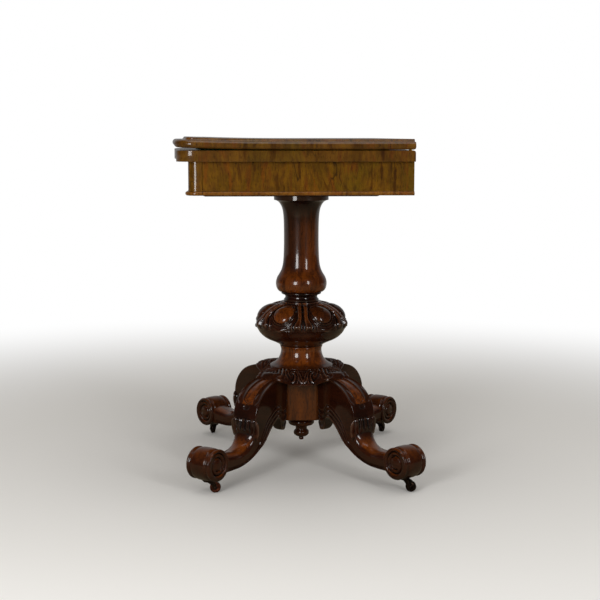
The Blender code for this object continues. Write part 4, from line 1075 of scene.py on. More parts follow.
    def build_lining(self, upper: bool) -> Piece:
        """Lay a cloth lining in a leaf's recess, its cut edge slightly rounded."""
        plan = self.lining_plan()
        bed = self.face(upper) + self.inward(upper) * self.recess
        steps = ((0.0, SEAT_GAP), (0.0, SEAT_GAP + self.cloth_thickness - 0.3 * MM),
                 (0.25 * MM, SEAT_GAP + self.cloth_thickness))
        rings = [[Vector((x, y, bed - self.inward(upper) * away)) for x, y in plan.outline(inset, inset)]
                 for inset, away in steps]
        label = "upper" if upper else "lower"
        cloth = stacked(f"cloth_{label}", rings)
        if upper:
            self.cup(cloth)
        with editing(cloth):
            bpy.ops.mesh.normals_make_consistent(inside=False)
        outline = plan.outline()
        finish_piece(cloth, self.leaf_body(upper), Slot.BAIZE, self.cloth, stands_for=[f"{label}_baize"])
        flat_area(outline)
        return cloth

    def plate_outline(self) -> list[Pair]:
        """Return a lower hinge plate's side: depth from the hinge edge and height from the playing face."""
        pin = -self.arris
        knuckle = self.knuckle_radius
        nose = arc((pin, pin), knuckle, 0.0, 0.5 * math.pi, 8)
        return [(-self.plate[1], pin + knuckle), (-self.plate[1], -self.plate[2]),
                (pin - knuckle, -self.plate[2]), (pin - knuckle, -self.knuckle_depth),
                (pin + knuckle, -self.knuckle_depth), *nose]

    def build_plate(self, side: int, upper: bool) -> Piece:
        """Make one hinge plate with its slotted knuckle and two screws."""
        middle = self.hinge_middle(side)
        way = self.inward(upper)
        half = self.plate[0] / 2
        outline = [(self.back + y, self.face(upper) - way * z) for y, z in self.plate_outline()]
        label = f"{'upper' if upper else 'lower'}_{'left' if side < 0 else 'right'}"
        plate = slab(f"hinge_{label}", outline, middle - half, middle + half, "X")
        rounded(plate, 0.25 * MM)
        gap = self.link[1] / 2 + SEAT_GAP
        reach = self.link[0] + SEAT_GAP
        pin_y = self.back - self.arris
        pin_z = self.face(upper) + way * self.arris
        low, high = sorted((self.face(upper) - way * MM, pin_z + way * reach))
        slot = block("slot", (middle - gap, pin_y - reach, low), (middle + gap, self.back + MM, high))
        radius = self.pin[0] + SEAT_GAP
        length = self.pin[1] / 2 + SEAT_GAP
        bore = lying("bore", [(radius, -length), (radius, length)], 20, "Y", (middle, pin_y, pin_z))
        cut_with(plate, slot, bore)
        body = self.leaf_body(upper)
        finish_piece(plate, body, Slot.HINGE_BRASS, self.brass, stands_for=[f"hinge_plate_{label}"])
        for k, back in enumerate(self.screw_places):
            place = Vector((middle, self.back - back, self.face(upper) + way * SEAT_GAP))
            head = screw_head(f"hinge_screw_{label}_{k + 1}", place, self.screw_radius, upper)
            finish_piece(head, body, Slot.HINGE_BRASS, self.brass)
        return plate

    def build_link(self, side: int) -> Piece:
        """Make one hinge link with its two pins."""
        middle = self.hinge_middle(side)
        y = self.back - self.arris
        low = self.face(False) - self.arris
        high = self.face(True) + self.arris
        radius, half = self.link[0], self.link[1] / 2
        outline = arc((y, low), radius, math.pi, math.tau, 14) + arc((y, high), radius, 0.0, math.pi, 14)
        label = "left" if side < 0 else "right"
        link = slab(f"hinge_bar_{label}", outline, middle - half, middle + half, "X")
        rounded(link, 0.3 * MM)
        pin, end = self.pin[0], self.pin[1] / 2
        run = [(pin * 0.8, -end), (pin, -end + 0.3 * MM), (pin, end - 0.3 * MM), (pin * 0.8, end)]
        for height in (low, high):
            cut_with(link, lying("pin", run, 18, "Y", (middle, y, height)), join=True)
        return finish_piece(link, Body.LINKS, Slot.HINGE_BRASS, self.brass,
                            stands_for=[f"hinge_link_{label}"])

    def build_swivel(self) -> None:
        """Give the iron swivel its finish, and screw its plate to the lower leaf."""
        for name in ("pivot_plate", "pivot_pin", "pivot_washer", "pivot_nut", "turn_stop_peg"):
            dress_node(name, self.iron)
        low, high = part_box("pivot_plate")
        radius, inset = self.plate_screw
        for k, (x, y) in enumerate(((low.x + inset, low.y + inset), (high.x - inset, low.y + inset),
                                    (high.x - inset, high.y - inset), (low.x + inset, high.y - inset))):
            head = screw_head(f"pivot_screw_{k + 1}", Vector((x, y, low.z + 0.05 * MM)), radius, True)
            finish_piece(head, Body.TOP, Slot.PIVOT_IRON, self.iron)

    def build(self) -> None:
        """Make the whole folding top."""
        self.build_upper_leaf()
        self.build_lower_leaf()
        for upper in (False, True):
            self.build_lining(upper)
            for side in (-1, 1):
                self.build_plate(side, upper)
        for side in (-1, 1):
            self.build_link(side)
        self.build_swivel()


@dataclass
class Carcase:
    """The serpentine frieze with its bead, the storage well and the pine parts behind them."""

    veneer: Finish
    moulding: Finish
    pine: Finish
    pine_across: Finish
    # A darker copy of the block walnut, for the painted shade on the bearer under the bead.
    dark: Finish
    rail: float = 20 * MM
    bead_radius: float = 3.9 * MM
    bead_projection: float = 6 * MM
    bead_lap: float = 12 * MM
    solid_bulge: float = 18 * MM
    bulge: float = 11 * MM
    corner: float = 18 * MM

    def plan(self) -> Serpentine:
        """Return the frieze's plan, from the CAD model's own reach."""
        low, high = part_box("frieze_front_rail")
        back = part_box("frieze_back_rail")[1].y
        return Serpentine(high.x, back, back - low.y - self.solid_bulge, self.bulge, self.corner)

    def build_front(self) -> Piece:
        """Make the serpentine front rail with its rounded corners."""
        plan = self.plan()
        low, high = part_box("frieze_front_rail")
        rim = plan.front_path() + plan.front_path(self.rail)[::-1]
        front = slab("frieze_front", rim, low.z, high.z)
        rounded(front, 0.3 * MM, segments=1, angle=50)
        return finish_piece(front, Body.STAND, Slot.WALNUT_TOP, self.veneer, stands_for=["frieze_front_rail"],
                            smooth=30)

    def section(self) -> list[Pair]:
        """Return the bead's section as inset and height: a flat lap and a half-round nose."""
        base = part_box("bead_front")[0].z
        radius = self.bead_radius
        lap = self.bead_lap
        nose = arc((radius - self.bead_projection, base + radius), radius, 1.5 * math.pi, 0.5 * math.pi, 12)
        return [(lap, base), *nose, (lap, base + 2 * radius)]

    def build_beads(self) -> None:
        """Make the bead under the frieze, along the front and both sides."""
        plan = self.plan()
        paths = [plan.front_path(inset) for inset, _ in self.section()]
        rings = [[Vector((*path[i], height)) for path, (_, height) in zip(paths, self.section())]
                 for i in range(len(paths[0]))]
        finish_piece(stacked("bead_under_front", rings), Body.STAND, Slot.WALNUT_TOP, self.moulding,
                     stands_for=["bead_front"])
        for side, label in ((-1, "left"), (1, "right")):
            low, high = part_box(f"bead_{label}")
            section = [(side * (plan.half_width - inset), height) for inset, height in self.section()]
            bead = slab(f"bead_under_{label}", section, low.y, high.y, "Y")
            finish_piece(bead, Body.STAND, Slot.WALNUT_TOP, self.moulding, stands_for=[f"bead_{label}"])

    def build(self) -> None:
        """Make and dress the whole carcase."""
        self.build_front()
        self.build_beads()
        for name in ("frieze_back_rail", "frieze_end_rail_left", "frieze_end_rail_right"):
            dress_node(name, self.veneer)
        for name in ("well_floor", "glue_block_front", "glue_block_back"):
            dress_node(name, self.pine)
        for name in ("well_divider", "pivot_rail", "turn_stop_shut", "turn_stop_open"):
            dress_node(name, self.pine_across)
        # The bearer is drawn in the darker block walnut as painted shade under the bead.
        dress_node("bearer", self.dark)


@dataclass
class Pedestal:
    """The turned column, the carved bulb, the spool, the leafy collar, the hub block and its finial."""

    carved: Finish
    plain: Finish
    sides: int = 96
    leaves: int = 6
    bulb_around: int = 432
    bulb_along: int = 132
    collar_around: int = 420
    collar_along: int = 84
    boss_at: float = 40.0
    boss_half: Pair = (24.0, 27.0)
    boss_rise: float = 6.8
    frames: tuple[tuple[float, float, float], ...] = ((2.8, 1.12, 0.07), (1.3, 1.32, 0.09), (0.7, 1.54, 0.10))
    ground: float = -1.8
    rib_rise: float = 4.6
    bulb_rim: float = 95.0
    tongue_root: float = 70.0
    scroll_at: Pair = (25.0, 13.0)
    scroll_pitch: float = 7.6
    collar_bore: float = 46.0
    collar_reach: float = 131.0
    skirt_reach: float = 100.0
    skirt_span: Pair = (0.17, 0.48)
    skirt_fall: float = 27.0
    collar_edge: float = 0.55
    spool_sink: float = 7.4
    axis: Vector = field(default_factory=pedestal_axis)

    def finish_walnut(self, piece: Piece, node: str, rub_and_light: Callable[[Vector, Vector], float],
                      reach: float = 0.8 * MM, rounds: int = 6, smooth: float = 28.0) -> Piece:
        """Weather a turned or carved piece and dress it.

        Args:
            piece: The form.
            node: The CAD node that it replaces.
            rub_and_light: Gives how bright a point is drawn, for handled wear and as painted light.
            reach: The relief in metres that counts as full wear.
            rounds: How far the weathering looks round each point.
            smooth: The angle in degrees under which edges are shaded smooth.

        Returns:
            The same piece.
        """
        weather(piece, reach, rounds)
        lay_grain(piece, Matrix.Identity(4))
        note_rubbing_and_light(piece, rub_and_light)
        return finish_piece(piece, Body.STAND, Slot.WALNUT_PEDESTAL, self.carved, stands_for=[node],
                            smooth=smooth)

    def build_column(self) -> Piece:
        """Turn the column: a flange under the bearer, a long hollow shaft, a torus and a stepped neck."""
        outline = profile(
            [(38.6, 368.9), (39.2, 370.0), (39.4, 373.2)], [(39.4, 373.2), (38.3, 374.2), (36.5, 376.5)],
            [(36.5, 376.5), (36.0, 379.5), (37.2, 382.0), (40.0, 384.2)], [(40.0, 384.2), (43.2, 385.0)],
            [(43.2, 385.0), (44.7, 386.2), (44.9, 388.2), (44.0, 389.6)],
            [(44.0, 389.6), (46.5, 390.4), (50.0, 391.4)],
            [(50.0, 391.4), (53.6, 395.0), (56.2, 401.0), (57.3, 409.0), (56.4, 416.5), (53.6, 424.0),
             (49.4, 431.0), (44.8, 440.0), (41.6, 452.0), (40.0, 468.0), (39.3, 486.0), (39.0, 503.0),
             (39.0, 525.0), (39.4, 548.0), (40.4, 564.0), (42.6, 577.0), (46.4, 586.0), (51.4, 592.4),
             (58.0, 596.2)],
            [(58.0, 596.2), (60.4, 596.4), (61.2, 597.2)], [(61.2, 597.2), (61.2, 607.0)],
            [(61.2, 607.0), (29.7, 607.0), (29.7, 633.6)])

        def rubbing_and_light(point: Vector, _: Vector) -> float:
            """Return the column's painted light: right half and torus lit, top and neck in painted shade."""
            # Painted light: the shaft's right, +Y half and the torus are drawn lit, the left half darker.
            side = step_between((point.y - self.axis.y) / MM, -26.0, 24.0)
            # The shaft's top, under the flange, is drawn dark as painted shade.
            shaft = (0.25 + 0.6 * side) * step_between(point.z, 0.590, 0.520)
            torus = shaft + (0.85 - shaft) * step_between(point.z, 0.455, 0.425)
            # The neck under the torus is drawn dark as painted shade.
            return torus * step_between(point.z, 0.389, 0.393)

        return self.finish_walnut(turned("column_turned", outline, self.sides, self.axis), "column", rubbing_and_light)

    def build_spool(self) -> Piece:
        """Turn the flared spool that stands on the collar."""
        outline = profile(
            [(45.7, 214.8), (45.7, 222.5)], [(45.7, 222.5), (70.2, 222.5)],
            [(70.2, 222.5), (70.9, 222.9), (70.7, 223.8), (68.0, 225.2)],
            [(68.0, 225.2), (62.5, 227.8), (57.0, 232.0), (53.0, 236.5), (50.3, 241.0), (47.9, 247.0),
             (46.2, 254.0), (45.9, 260.0), (46.6, 264.2)],
            [(46.6, 264.2), (47.6, 265.0), (47.8, 266.4), (47.0, 267.7)])
        # The spool's foot, up to 226 mm, is drawn darker than its flare.
        return self.finish_walnut(turned("spool_turned", outline, self.sides, self.axis), "spool",
                                  lambda point, _: 0.3 + 0.7 * step_between(point.z, 0.226, 0.234))

    def build_finial(self) -> Piece:
        """Turn the finial under the hub: a disc, a neck, a knob and a small tip."""
        low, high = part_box("finial")
        tall = (high.z - low.z) / MM
        foot = low.z / MM
        shares = (
            ((0.9, 0.0), (4.6, 0.03), (5.6, 0.08), (4.9, 0.125)), ((4.9, 0.125), (6.5, 0.145)),
            ((6.5, 0.145), (11.5, 0.17), (16.2, 0.235), (17.4, 0.31), (16.6, 0.385), (13.8, 0.43)),
            ((13.8, 0.43), (13.0, 0.47), (13.0, 0.53), (14.4, 0.585), (17.0, 0.615)),
            ((17.0, 0.615), (25.2, 0.635)),
            ((25.2, 0.635), (28.4, 0.68), (29.5, 0.745), (28.9, 0.81), (26.6, 0.855)),
            ((26.6, 0.855), (22.2, 0.875)), ((22.2, 0.875), (20.6, 0.92), (20.3, 1.0)))
        outline = profile(*([(r, foot + share * tall) for r, share in run] for run in shares))
        return self.finish_walnut(turned("finial_turned", outline, 64, self.axis), "finial",
                                  lambda point, _: 0.3, 0.6 * MM)

    def bulb_rows(self) -> list[tuple[float, float, float, float, float]]:
        """Lay out the bulb's outline from the neck down.

        Returns:
            For each row its radius, height, outward direction as two numbers, and run down the body, in
            millimetres.
        """
        top = [(38.0, 368.6), (45.2, 368.6), (45.8, 368.0), (45.8, 366.0), (45.2, 365.2)]
        body = smooth_run([(47.0, 364.6), (52.5, 364.0), (60.0, 362.4), (67.0, 359.8), (76.0, 355.6),
                           (84.5, 350.4), (91.0, 344.6), (96.6, 337.0), (100.6, 328.4), (103.0, 319.6),
                           (103.6, 312.4)], 12)
        under = smooth_run([(103.2, 310.8), (101.2, 309.6), (99.0, 306.4), (94.0, 298.0), (85.4, 289.4),
                            (76.0, 283.6), (64.0, 278.4), (56.0, 274.6), (50.4, 271.4), (48.4, 269.0),
                            (48.0, 268.0)], 8)
        points = [*top, *body, *under]
        lengths = lengths_along(points)
        rows = []
        for k in range(self.bulb_along + 1):
            run = lengths[-1] * k / self.bulb_along
            here, ahead, behind = (point_along(points, lengths, run + step) for step in (0.0, 0.8, -0.8))
            along = (Vector(ahead) - Vector(behind)).normalized()
            rows.append((*here, -along.y, along.x, run - lengths[len(top)]))
        return rows

    def bulb_carving(self, angle: float, radius: float, run: float) -> tuple[float, float]:
        """Carve the bulb's surface: cabochons in beaded frames between ribbed leaves.

        Args:
            angle: The angle round the bulb from the table's right-hand side.
            radius: The row's radius in millimetres.
            run: The row's run down the body in millimetres.

        Returns:
            How far the surface stands out in millimetres, and how bright it is drawn, for wear and as painted
            light.
        """
        if not 0.0 <= run <= self.bulb_rim:
            return 0.0, 0.14
        pitch = math.tau / self.leaves
        off = math.remainder(angle - pitch / 2, pitch)
        across = abs(off) * radius
        aside = (pitch / 2 - abs(off)) * radius
        drop = (run - self.boss_at) / self.boss_half[1]
        wide = self.boss_half[0] * (1 + 0.10 * drop)
        q = math.hypot(across / wide, drop)
        flare = step_between(run, 46.0, 74.0)
        fade = step_between(run, 0.0, 7.0)

        # The cabochon in its three frames, over hatching.
        boss = self.ground
        rub_and_light = 0.08
        if q < 1.0:
            boss += self.boss_rise * math.sqrt(1 - q * q)
            # Painted light: cabochons are drawn lit on the left, front and back, dark on the right and sides.
            rub_and_light = 0.95 - 0.6 * step_between(math.sin(angle), -0.2, 0.4)
            rub_and_light *= 0.3 + 0.7 * step_between(abs(math.cos(angle)), 0.2, 0.6)
        for rise, centre, half in self.frames:
            boss += rise * bump_at(q, centre, half)
        hatched = bump_at(run, 58.0, 15.0) * step_between(q, 1.15, 1.3)
        boss += 0.35 * hatched * math.cos(math.tau * (0.24 * aside + 0.16 * run))

        # The leaf: two ribs that spread towards the rim, and a side vein outside each.
        spread = 9.0 * flare * flare
        leaf = -3.0 * (1 - flare)
        rib = plateau(aside, 2.6 + 0.3 * spread, 11.0 + spread)
        leaf += (self.rib_rise + flare) * rib
        leaf += 1.6 * flare * bump_at(aside, 17.0 + spread, 4.5)
        edge = 15.0 + 4.0 * step_between(run, 5.0, 40.0) + spread
        weight = step_between(aside, edge + 1.6, edge - 1.6)

        # Tips roll out just above the rim, under the leaves and under the cabochons.
        leaf += 2.4 * step_between(run, 64.0, 76.0) * bump_at(aside, 12.0, 11.0)
        boss += 3.2 * step_between(run, 74.0, 86.0) * bump_at(across, 0.0, 17.0)
        leaf *= step_between(run, 87.0, 75.0)
        boss *= step_between(run, 92.5, 84.5)
        # Wear on the ribs, and painted shade in the flutes and the flared foot, which are drawn near black.
        if weight > 0.5:
            rub_and_light = 0.05 + 0.75 * rib * (1 - flare)
        return (boss + (leaf - boss) * weight) * fade, rub_and_light

    def build_bulb(self) -> Piece:
        """Carve the bulb: six cabochons and six leaves over a plain underside with a crisp rim between."""
        rows = self.bulb_rows()

        def place(u: float, v: float) -> Vector:
            """Return the carved surface's point."""
            radius, height, out, up, run = rows[round(v * self.bulb_along)]
            angle = math.tau * u
            stand = self.bulb_carving(angle, radius, run)[0]
            reach = (radius + out * stand) * MM
            high = (height + up * stand) * MM
            return self.axis + Vector((reach * math.cos(angle), reach * math.sin(angle), high))

        radii, heights, _, _, runs = zip(*(row for row in reversed(rows) if row[4] >= 0.0))

        def rubbing_and_light(point: Vector, _: Vector) -> float:
            """Return how bright a point of the bulb is drawn, for wear and as painted light."""
            angle = math.atan2(point.y - self.axis.y, point.x - self.axis.x)
            radius, run = (float(np.interp(point.z / MM, heights, values)) for values in (radii, runs))
            return self.bulb_carving(angle, radius, run)[1]

        bulb = wrapped("bulb_carved", self.bulb_around, self.bulb_along, place)
        return self.finish_walnut(bulb, "carved_bulb", rubbing_and_light, 0.9 * MM, 10, 60.0)

    def nearest(self, angle: float, places: Sequence[float]) -> float:
        """Return the signed angle from the nearest of some directions."""
        return min((math.remainder(angle - place, math.tau) for place in places), key=abs)

    def collar_carving(self, angle: float, radius: float, down: float) -> float:
        """Carve the collar: a leaf with a rolled tip over each leg, and scrolling leaves between.

        Args:
            angle: The angle round the collar.
            radius: The distance from the axis in millimetres.
            down: The run down the skirt in millimetres.

        Returns:
            How far the surface stands out in millimetres.
        """
        if down < 0.0:
            return 0.0
        # Over each leg: a midrib, slanting side veins and a rolled tip.
        off = self.nearest(angle, tuple(HEADINGS.values()))
        aside = radius * abs(math.sin(off))
        out = radius * math.cos(off) - self.tongue_root
        leaf = 2.0 * bump_at(aside, 0.0, 2.6)
        leaf += 1.7 * math.cos(math.tau * (0.09 * aside - 0.07 * out)) * step_between(aside, 1.5, 4.5)
        leaf *= step_between(out, 43.0, 37.0)
        leaf += 3.4 * bump_at(out, 50.0, 12.0) * step_between(aside, 21.0, 12.0)
        leaf_weight = step_between(aside, 26.0, 21.0) * step_between(out, -2.0, 4.0)

        # Between the legs: a pointed leaf with a midrib, and a scrolling one on each side of it.
        beside = radius * abs(self.nearest(angle, (0.0, 0.5 * math.pi, math.pi, -0.5 * math.pi)))
        point = 12.5 * (1 - down / 25.0)
        across = math.remainder(beside - self.scroll_at[0], 29.0)
        below = down - self.scroll_at[1]
        turn = math.tau * math.hypot(across, below) / self.scroll_pitch + 2 * math.atan2(below, across)
        drop = 1.7 * math.cos(turn) * step_between(beside, point + 1.0, point + 4.0)
        drop += 3.0 * bump_at(beside, max(point, 0.0), 2.4) * step_between(down, 27.0, 23.0)
        drop -= 1.5 * step_between(beside, point - 1.0, point - 3.0)
        drop += 1.8 * bump_at(beside, 0.0, 1.6)
        drop *= step_between(down, 27.0, 23.0)
        drop += 1.2 * bump_at(down, 28.4, 1.6)
        return leaf * leaf_weight + drop * (1 - leaf_weight) * step_between(down, 0.0, 4.0)

    def build_collar(self) -> Piece:
        """Carve the collar: tongues over the legs, a drooping skirt between them, leaves on both."""
        bore = self.collar_bore
        level_top = 0.985
        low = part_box("carved_collar")[0].z / MM
        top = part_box("spool")[0].z / MM + self.spool_sink
        tongue_run = smooth_run([
            (0.0, level_top), (0.30, level_top), (0.37, 1.04), (0.55, 1.02), (0.80, 0.885), (0.97, 0.63),
            (0.985, 0.50), (0.93, 0.43), (0.65, 0.56), (0.26, 0.785), (0.0, 0.785)], 8)
        skirt_run = smooth_run([
            (0.0, level_top), (0.38, level_top), (0.47, 0.90), (0.64, 0.73), (0.84, 0.41), (0.985, 0.08),
            (0.975, 0.02), (0.91, 0.01), (0.80, 0.12), (0.40, 0.785), (0.0, 0.785)], 8)

        def sheet_point(angle: float, share: float) -> tuple[float, float]:
            """Return the plain collar's radius and height in millimetres."""
            away = abs(self.nearest(angle, tuple(HEADINGS.values())))
            blend = step_between(away, math.radians(25), math.radians(13))
            place = share * (len(tongue_run) - 1)
            k = min(int(place), len(tongue_run) - 2)
            (long, high), (short, deep) = (
                (a + (b - a) * (place - k) for a, b in zip(run[k], run[k + 1]))
                for run in (tongue_run, skirt_run))
            wavy = step_between(share, 0.3, 0.5) * step_between(share, 0.85, 0.65)
            lobes = 1 + 0.012 * math.cos(28 * angle) * wavy
            wide = bore + long * (self.collar_reach - bore) * lobes
            narrow = bore + short * (self.skirt_reach - bore) * lobes
            level = deep + (high - deep) * blend
            return narrow + (wide - narrow) * blend, low + level / level_top * (top - low)

        def place(u: float, v: float) -> Vector:
            """Return the carved surface's point."""
            angle = math.tau * u
            radius, height = sheet_point(angle, v)
            ahead = sheet_point(angle, min(1.0, v + 0.01))
            behind = sheet_point(angle, max(0.0, v - 0.01))
            along = Vector((ahead[0] - behind[0], ahead[1] - behind[1]))
            along = along.normalized() if along.length > 1e-6 else Vector((1.0, 0.0))
            start, foot = self.skirt_span
            down = self.skirt_fall * (v - start) / (foot - start)
            upper_side = step_between(v, self.collar_edge + 0.05, self.collar_edge - 0.05)
            stand = self.collar_carving(angle, radius, down) * upper_side
            radius -= along.y * stand
            height += along.x * stand
            return self.axis + Vector((radius * math.cos(angle), radius * math.sin(angle), height)) * MM

        collar = wrapped("collar_carved", self.collar_around, self.collar_along, place)
        return self.finish_walnut(collar, "carved_collar", lambda point, _: 0.12, 0.8 * MM, 8, 60.0)

    def build(self) -> None:
        """Make the whole pedestal."""
        self.build_column()
        self.build_bulb()
        self.build_spool()
        self.build_collar()
        self.build_finial()
        dress_node("hub_block", self.plain)


@dataclass
class ScrollLegs:
    """Four cabriole legs with sunk panels, carved cuffs and scroll feet."""

    carved: Finish
    reach: float = FOOT_REACH
    arch: float = 214.5
    root: float = 67.85
    width: float = 62.0
    panel_share: float = 0.445
    sink: float = 2.6
    panel_crown: float = 0.9
    border_hollow: float = 2.0
    cup_half: Pair = (9.0, 6.6)
    cup_depth: float = 3.0
    shoulder: float = 1.2
    panel_foot: float = 166.0
    panel_heel: float = 96.0
    side_taper: float = 4.0
    groove: float = 1.7
    scroll_height: float = 61.0
    scroll_flat: float = 27.5
    cuff_height: float = 118.6
    cuff_half: float = 14.5
    cuff_rise: float = 8.0
    cuff_wrap: Pair = (39.0, 47.0)
    knuckle: float = 11.4
    spacing: float = 1.7
    scroll_around: int = 96
    scroll_start: float = 296.0
    scroll_face: float = 28.6
    scroll_rim_rise: float = 2.6
    eye_radius: float = 11.0
    eye_rise: float = 1.8
    spiral_start: float = 27.0
    spiral_pitch: float = 9.0
    spiral_cut: float = 4.6
    spiral_laps: float = 1.75
    stations: tuple[tuple[float, ...], ...] = (
        (0.000, 1.000, 0.000, 0.452, 0.355, 0.0), (0.028, 0.999, 0.017, 0.410, 0.371, 0.0),
        (0.062, 0.997, 0.047, 0.403, 0.420, 0.0), (0.095, 0.995, 0.080, 0.422, 0.484, 0.0),
        (0.136, 0.991, 0.107, 0.480, 0.600, 0.0), (0.189, 0.983, 0.144, 0.548, 0.770, 0.0),
        (0.260, 0.966, 0.204, 0.566, 0.930, 0.0), (0.346, 0.932, 0.260, 0.529, 0.990, 0.0),
        (0.421, 0.879, 0.299, 0.485, 1.000, 0.0), (0.479, 0.806, 0.325, 0.450, 1.000, 0.0),
        (0.514, 0.727, 0.348, 0.415, 1.000, 0.0), (0.529, 0.653, 0.368, 0.382, 0.985, 0.0),
        (0.540, 0.553, 0.408, 0.333, 0.955, 0.2), (0.548, 0.508, 0.432, 0.308, 0.900, 0.7),
        (0.570, 0.441, 0.484, 0.263, 0.860, 1.0), (0.611, 0.382, 0.555, 0.221, 0.840, 1.0),
        (0.675, 0.350, 0.641, 0.191, 0.840, 1.0), (0.750, 0.343, 0.735, 0.178, 0.855, 1.0),
        (0.914, 0.368, 0.914, 0.180, 0.910, 1.0), (0.966, 0.373, 0.966, 0.177, 0.790, 1.0))

    def course(self) -> list[tuple[float, ...]]:
        """Even out the leg's stations along its top line.

        Returns:
            Outer radius and height, inner radius and height, half width, roundness and run, in millimetres.
        """
        run_out = self.reach - self.root
        marks = [(self.root + a * run_out, b * self.arch, self.root + c * run_out, d * self.arch,
                  e * self.width / 2, f) for a, b, c, d, e, f in self.stations]
        fine = smooth_run(marks, 12)
        lengths = lengths_along(fine)
        count = round(lengths[-1] / self.spacing)
        runs = [lengths[-1] * k / count for k in range(count + 1)]
        return [(*point_along(fine, lengths, run), run) for run in runs]

    def relief(self, across: float, row: tuple[float, ...], heel: float, head: float) -> float:
        """Find how far the top is cut down: a sunk panel, side hollows and a cup under its round head.

        Args:
            across: The place across from the middle, in millimetres.
            row: One row of the course.
            heel: The run at which the panel starts.
            head: The run at which its round head ends.

        Returns:
            The depth of the cut in millimetres.
        """
        half, run = row[4], row[6]
        # The panel is sunk, and its floor is crowned.
        full = self.panel_share * half
        inside = full - math.hypot(across, max(0.0, run - head + full, heel + full - run))
        fall = self.sink * step_between(inside, 0.2, 1.8) - self.panel_crown * step_between(inside, 1.8, full)
        # The border beside it is hollowed.
        share = (-inside - 0.8) / (half - full - 2.0)
        if 0.0 < share < 1.0:
            border = step_between(run, head + 8.0, head - 5.0) * step_between(run, heel - 6.0, heel + 6.0)
            fall += self.border_hollow * math.sin(math.pi * share) ** 0.8 * border
        # The cup lies below the panel's head, between two raised shoulders.
        cup = math.hypot(across / self.cup_half[0], (run - head - 8.0) / self.cup_half[1])
        if cup < 1.0:
            fall += self.cup_depth * math.sqrt(1 - cup * cup)
        raised = bump_at(run, head + 2.0, 10.0) * bump_at(across, 0.82 * half, 0.18 * half)
        return fall - self.shoulder * raised

    def half_section(self, row: tuple[float, ...], heel: float, head: float) -> list[Pair]:
        """Draw half of a section, from the middle of the top to the middle of the foot.

        Args:
            row: One row of the course.
            heel: The run at which the panel starts.
            head: The run at which the panel ends.

        Returns:
            Places across and falls from the top line, in millimetres.
        """
        half, roundness = row[4], row[5]
        depth = math.dist(row[0:2], row[2:4])
        crown = half * 0.55
        section = []
        for share in (0.0, 0.08, 0.16, 0.24, 0.31, 0.36, 0.39, 0.415, 0.435, 0.45, 0.465, 0.485, 0.52, 0.57,
                      0.62, 0.68, 0.74, 0.80, 0.85, 0.89, 0.92, 0.945, 0.965, 0.98, 0.996):
            place = half * share
            eased = 1.1 * max(0.0, (place - half + 1.6) / 1.5) ** 2
            flat = self.relief(place, row, heel, head) + eased
            curve = crown * (1 - math.sqrt(1 - share * share))
            section.append((place, flat + (curve - flat) * roundness))
        start = section[-1][1]
        taper = self.side_taper
        # Three grooves run along the foot of each side, each cut by three of its points.
        grooves = (0.665, 0.685, 0.70, 0.775, 0.795, 0.81, 0.885, 0.905, 0.92)
        lands = (0.05, 0.10, 0.15, 0.20, 0.25, 0.30, 0.36, 0.42, 0.48, 0.54, 0.60, 0.645, 0.72, 0.745, 0.83,
                 0.855, 0.94, 0.97)
        for share in sorted((*lands, *grooves)):
            place = half - taper * share - self.groove * (share in grooves)
            section.append((place, start + share * (depth - start)))
        section += [(half - taper - 0.6, depth - 0.3), (half - taper - 2.0, depth + 0.2),
                    ((half - taper) * 0.5, depth + 0.4), (0.0, depth + 0.4)]
        return section

    def swell(self, section: list[Pair], cuff: float) -> list[Pair]:
        """Push a section out into the cuff's knuckles, each with a fine cut down its middle."""
        travelled = 0.0
        swollen = []
        for k, (place, fall) in enumerate(section):
            if k:
                travelled += math.dist(section[k - 1], section[k])
            before = section[max(0, k - 1)]
            after = section[min(len(section) - 1, k + 1)]
            along = Vector((after[0] - before[0], after[1] - before[1])).normalized()
            lobe = abs(math.cos(math.pi * travelled / self.knuckle)) ** 0.75
            cut = 0.16 * bump_at(math.remainder(travelled, self.knuckle), 0.0, 1.2)
            fade = step_between(travelled, *self.cuff_wrap[::-1])
            proud = self.cuff_rise * cuff * (0.12 + 0.88 * lobe - cut) * fade
            swollen.append((place + along.y * proud, fall - along.x * proud))
        return swollen

    def build_knee(self) -> Piece:
        """Wrap the arched leg along +X, with its sunk round-headed panel, its grooves and its cuff."""
        rows = self.course()
        head = next(row[6] for row in rows if row[1] < self.panel_foot)
        heel = next(row[6] for row in rows if row[0] > self.panel_heel)
        cuff_at = next(row[6] for row in rows if row[1] < self.cuff_height)
        side = Vector((0.0, 1.0, 0.0))
        rings = []
        for row in rows:
            away = abs(row[6] - cuff_at) / self.cuff_half
            section = self.half_section(row, heel, head)
            if away < 1.0:
                section = self.swell(section, math.sqrt(1 - away ** 4))
            outer = Vector((row[0], 0.0, row[1]))
            down = (Vector((row[2], 0.0, row[3])) - outer).normalized()
            ring = [outer + side * place + down * fall for place, fall in section]
            ring += [outer - side * place + down * fall for place, fall in section[-2:0:-1]]
            rings.append([*ring, ring[0]])
        around, along = len(rings[0]) - 1, len(rings) - 1
        return wrapped("leg", around, along, lambda u, v: rings[round(v * along)][round(u * around)] * MM)

    def scroll_depth(self, radius: float, angle: float) -> float:
        """Return how far a scroll's face stands out at a point, with its spiral cut and its domed eye."""
        dome = math.sqrt(max(0.0, 1 - (radius / self.eye_radius) ** 2))
        rise = self.scroll_rim_rise * step_between(radius, 16.0, 30.0)
        depth = self.scroll_face + rise + self.eye_rise * dome
        turn = ((angle - 0.6) / math.tau) % 1.0
        for share in (turn, turn + 1):
            if share <= self.spiral_laps:
                cut = bump_at(radius, self.spiral_start - self.spiral_pitch * share, 3.4)
                depth -= self.spiral_cut * cut * step_between(share, 0.0, 0.12)
        return depth

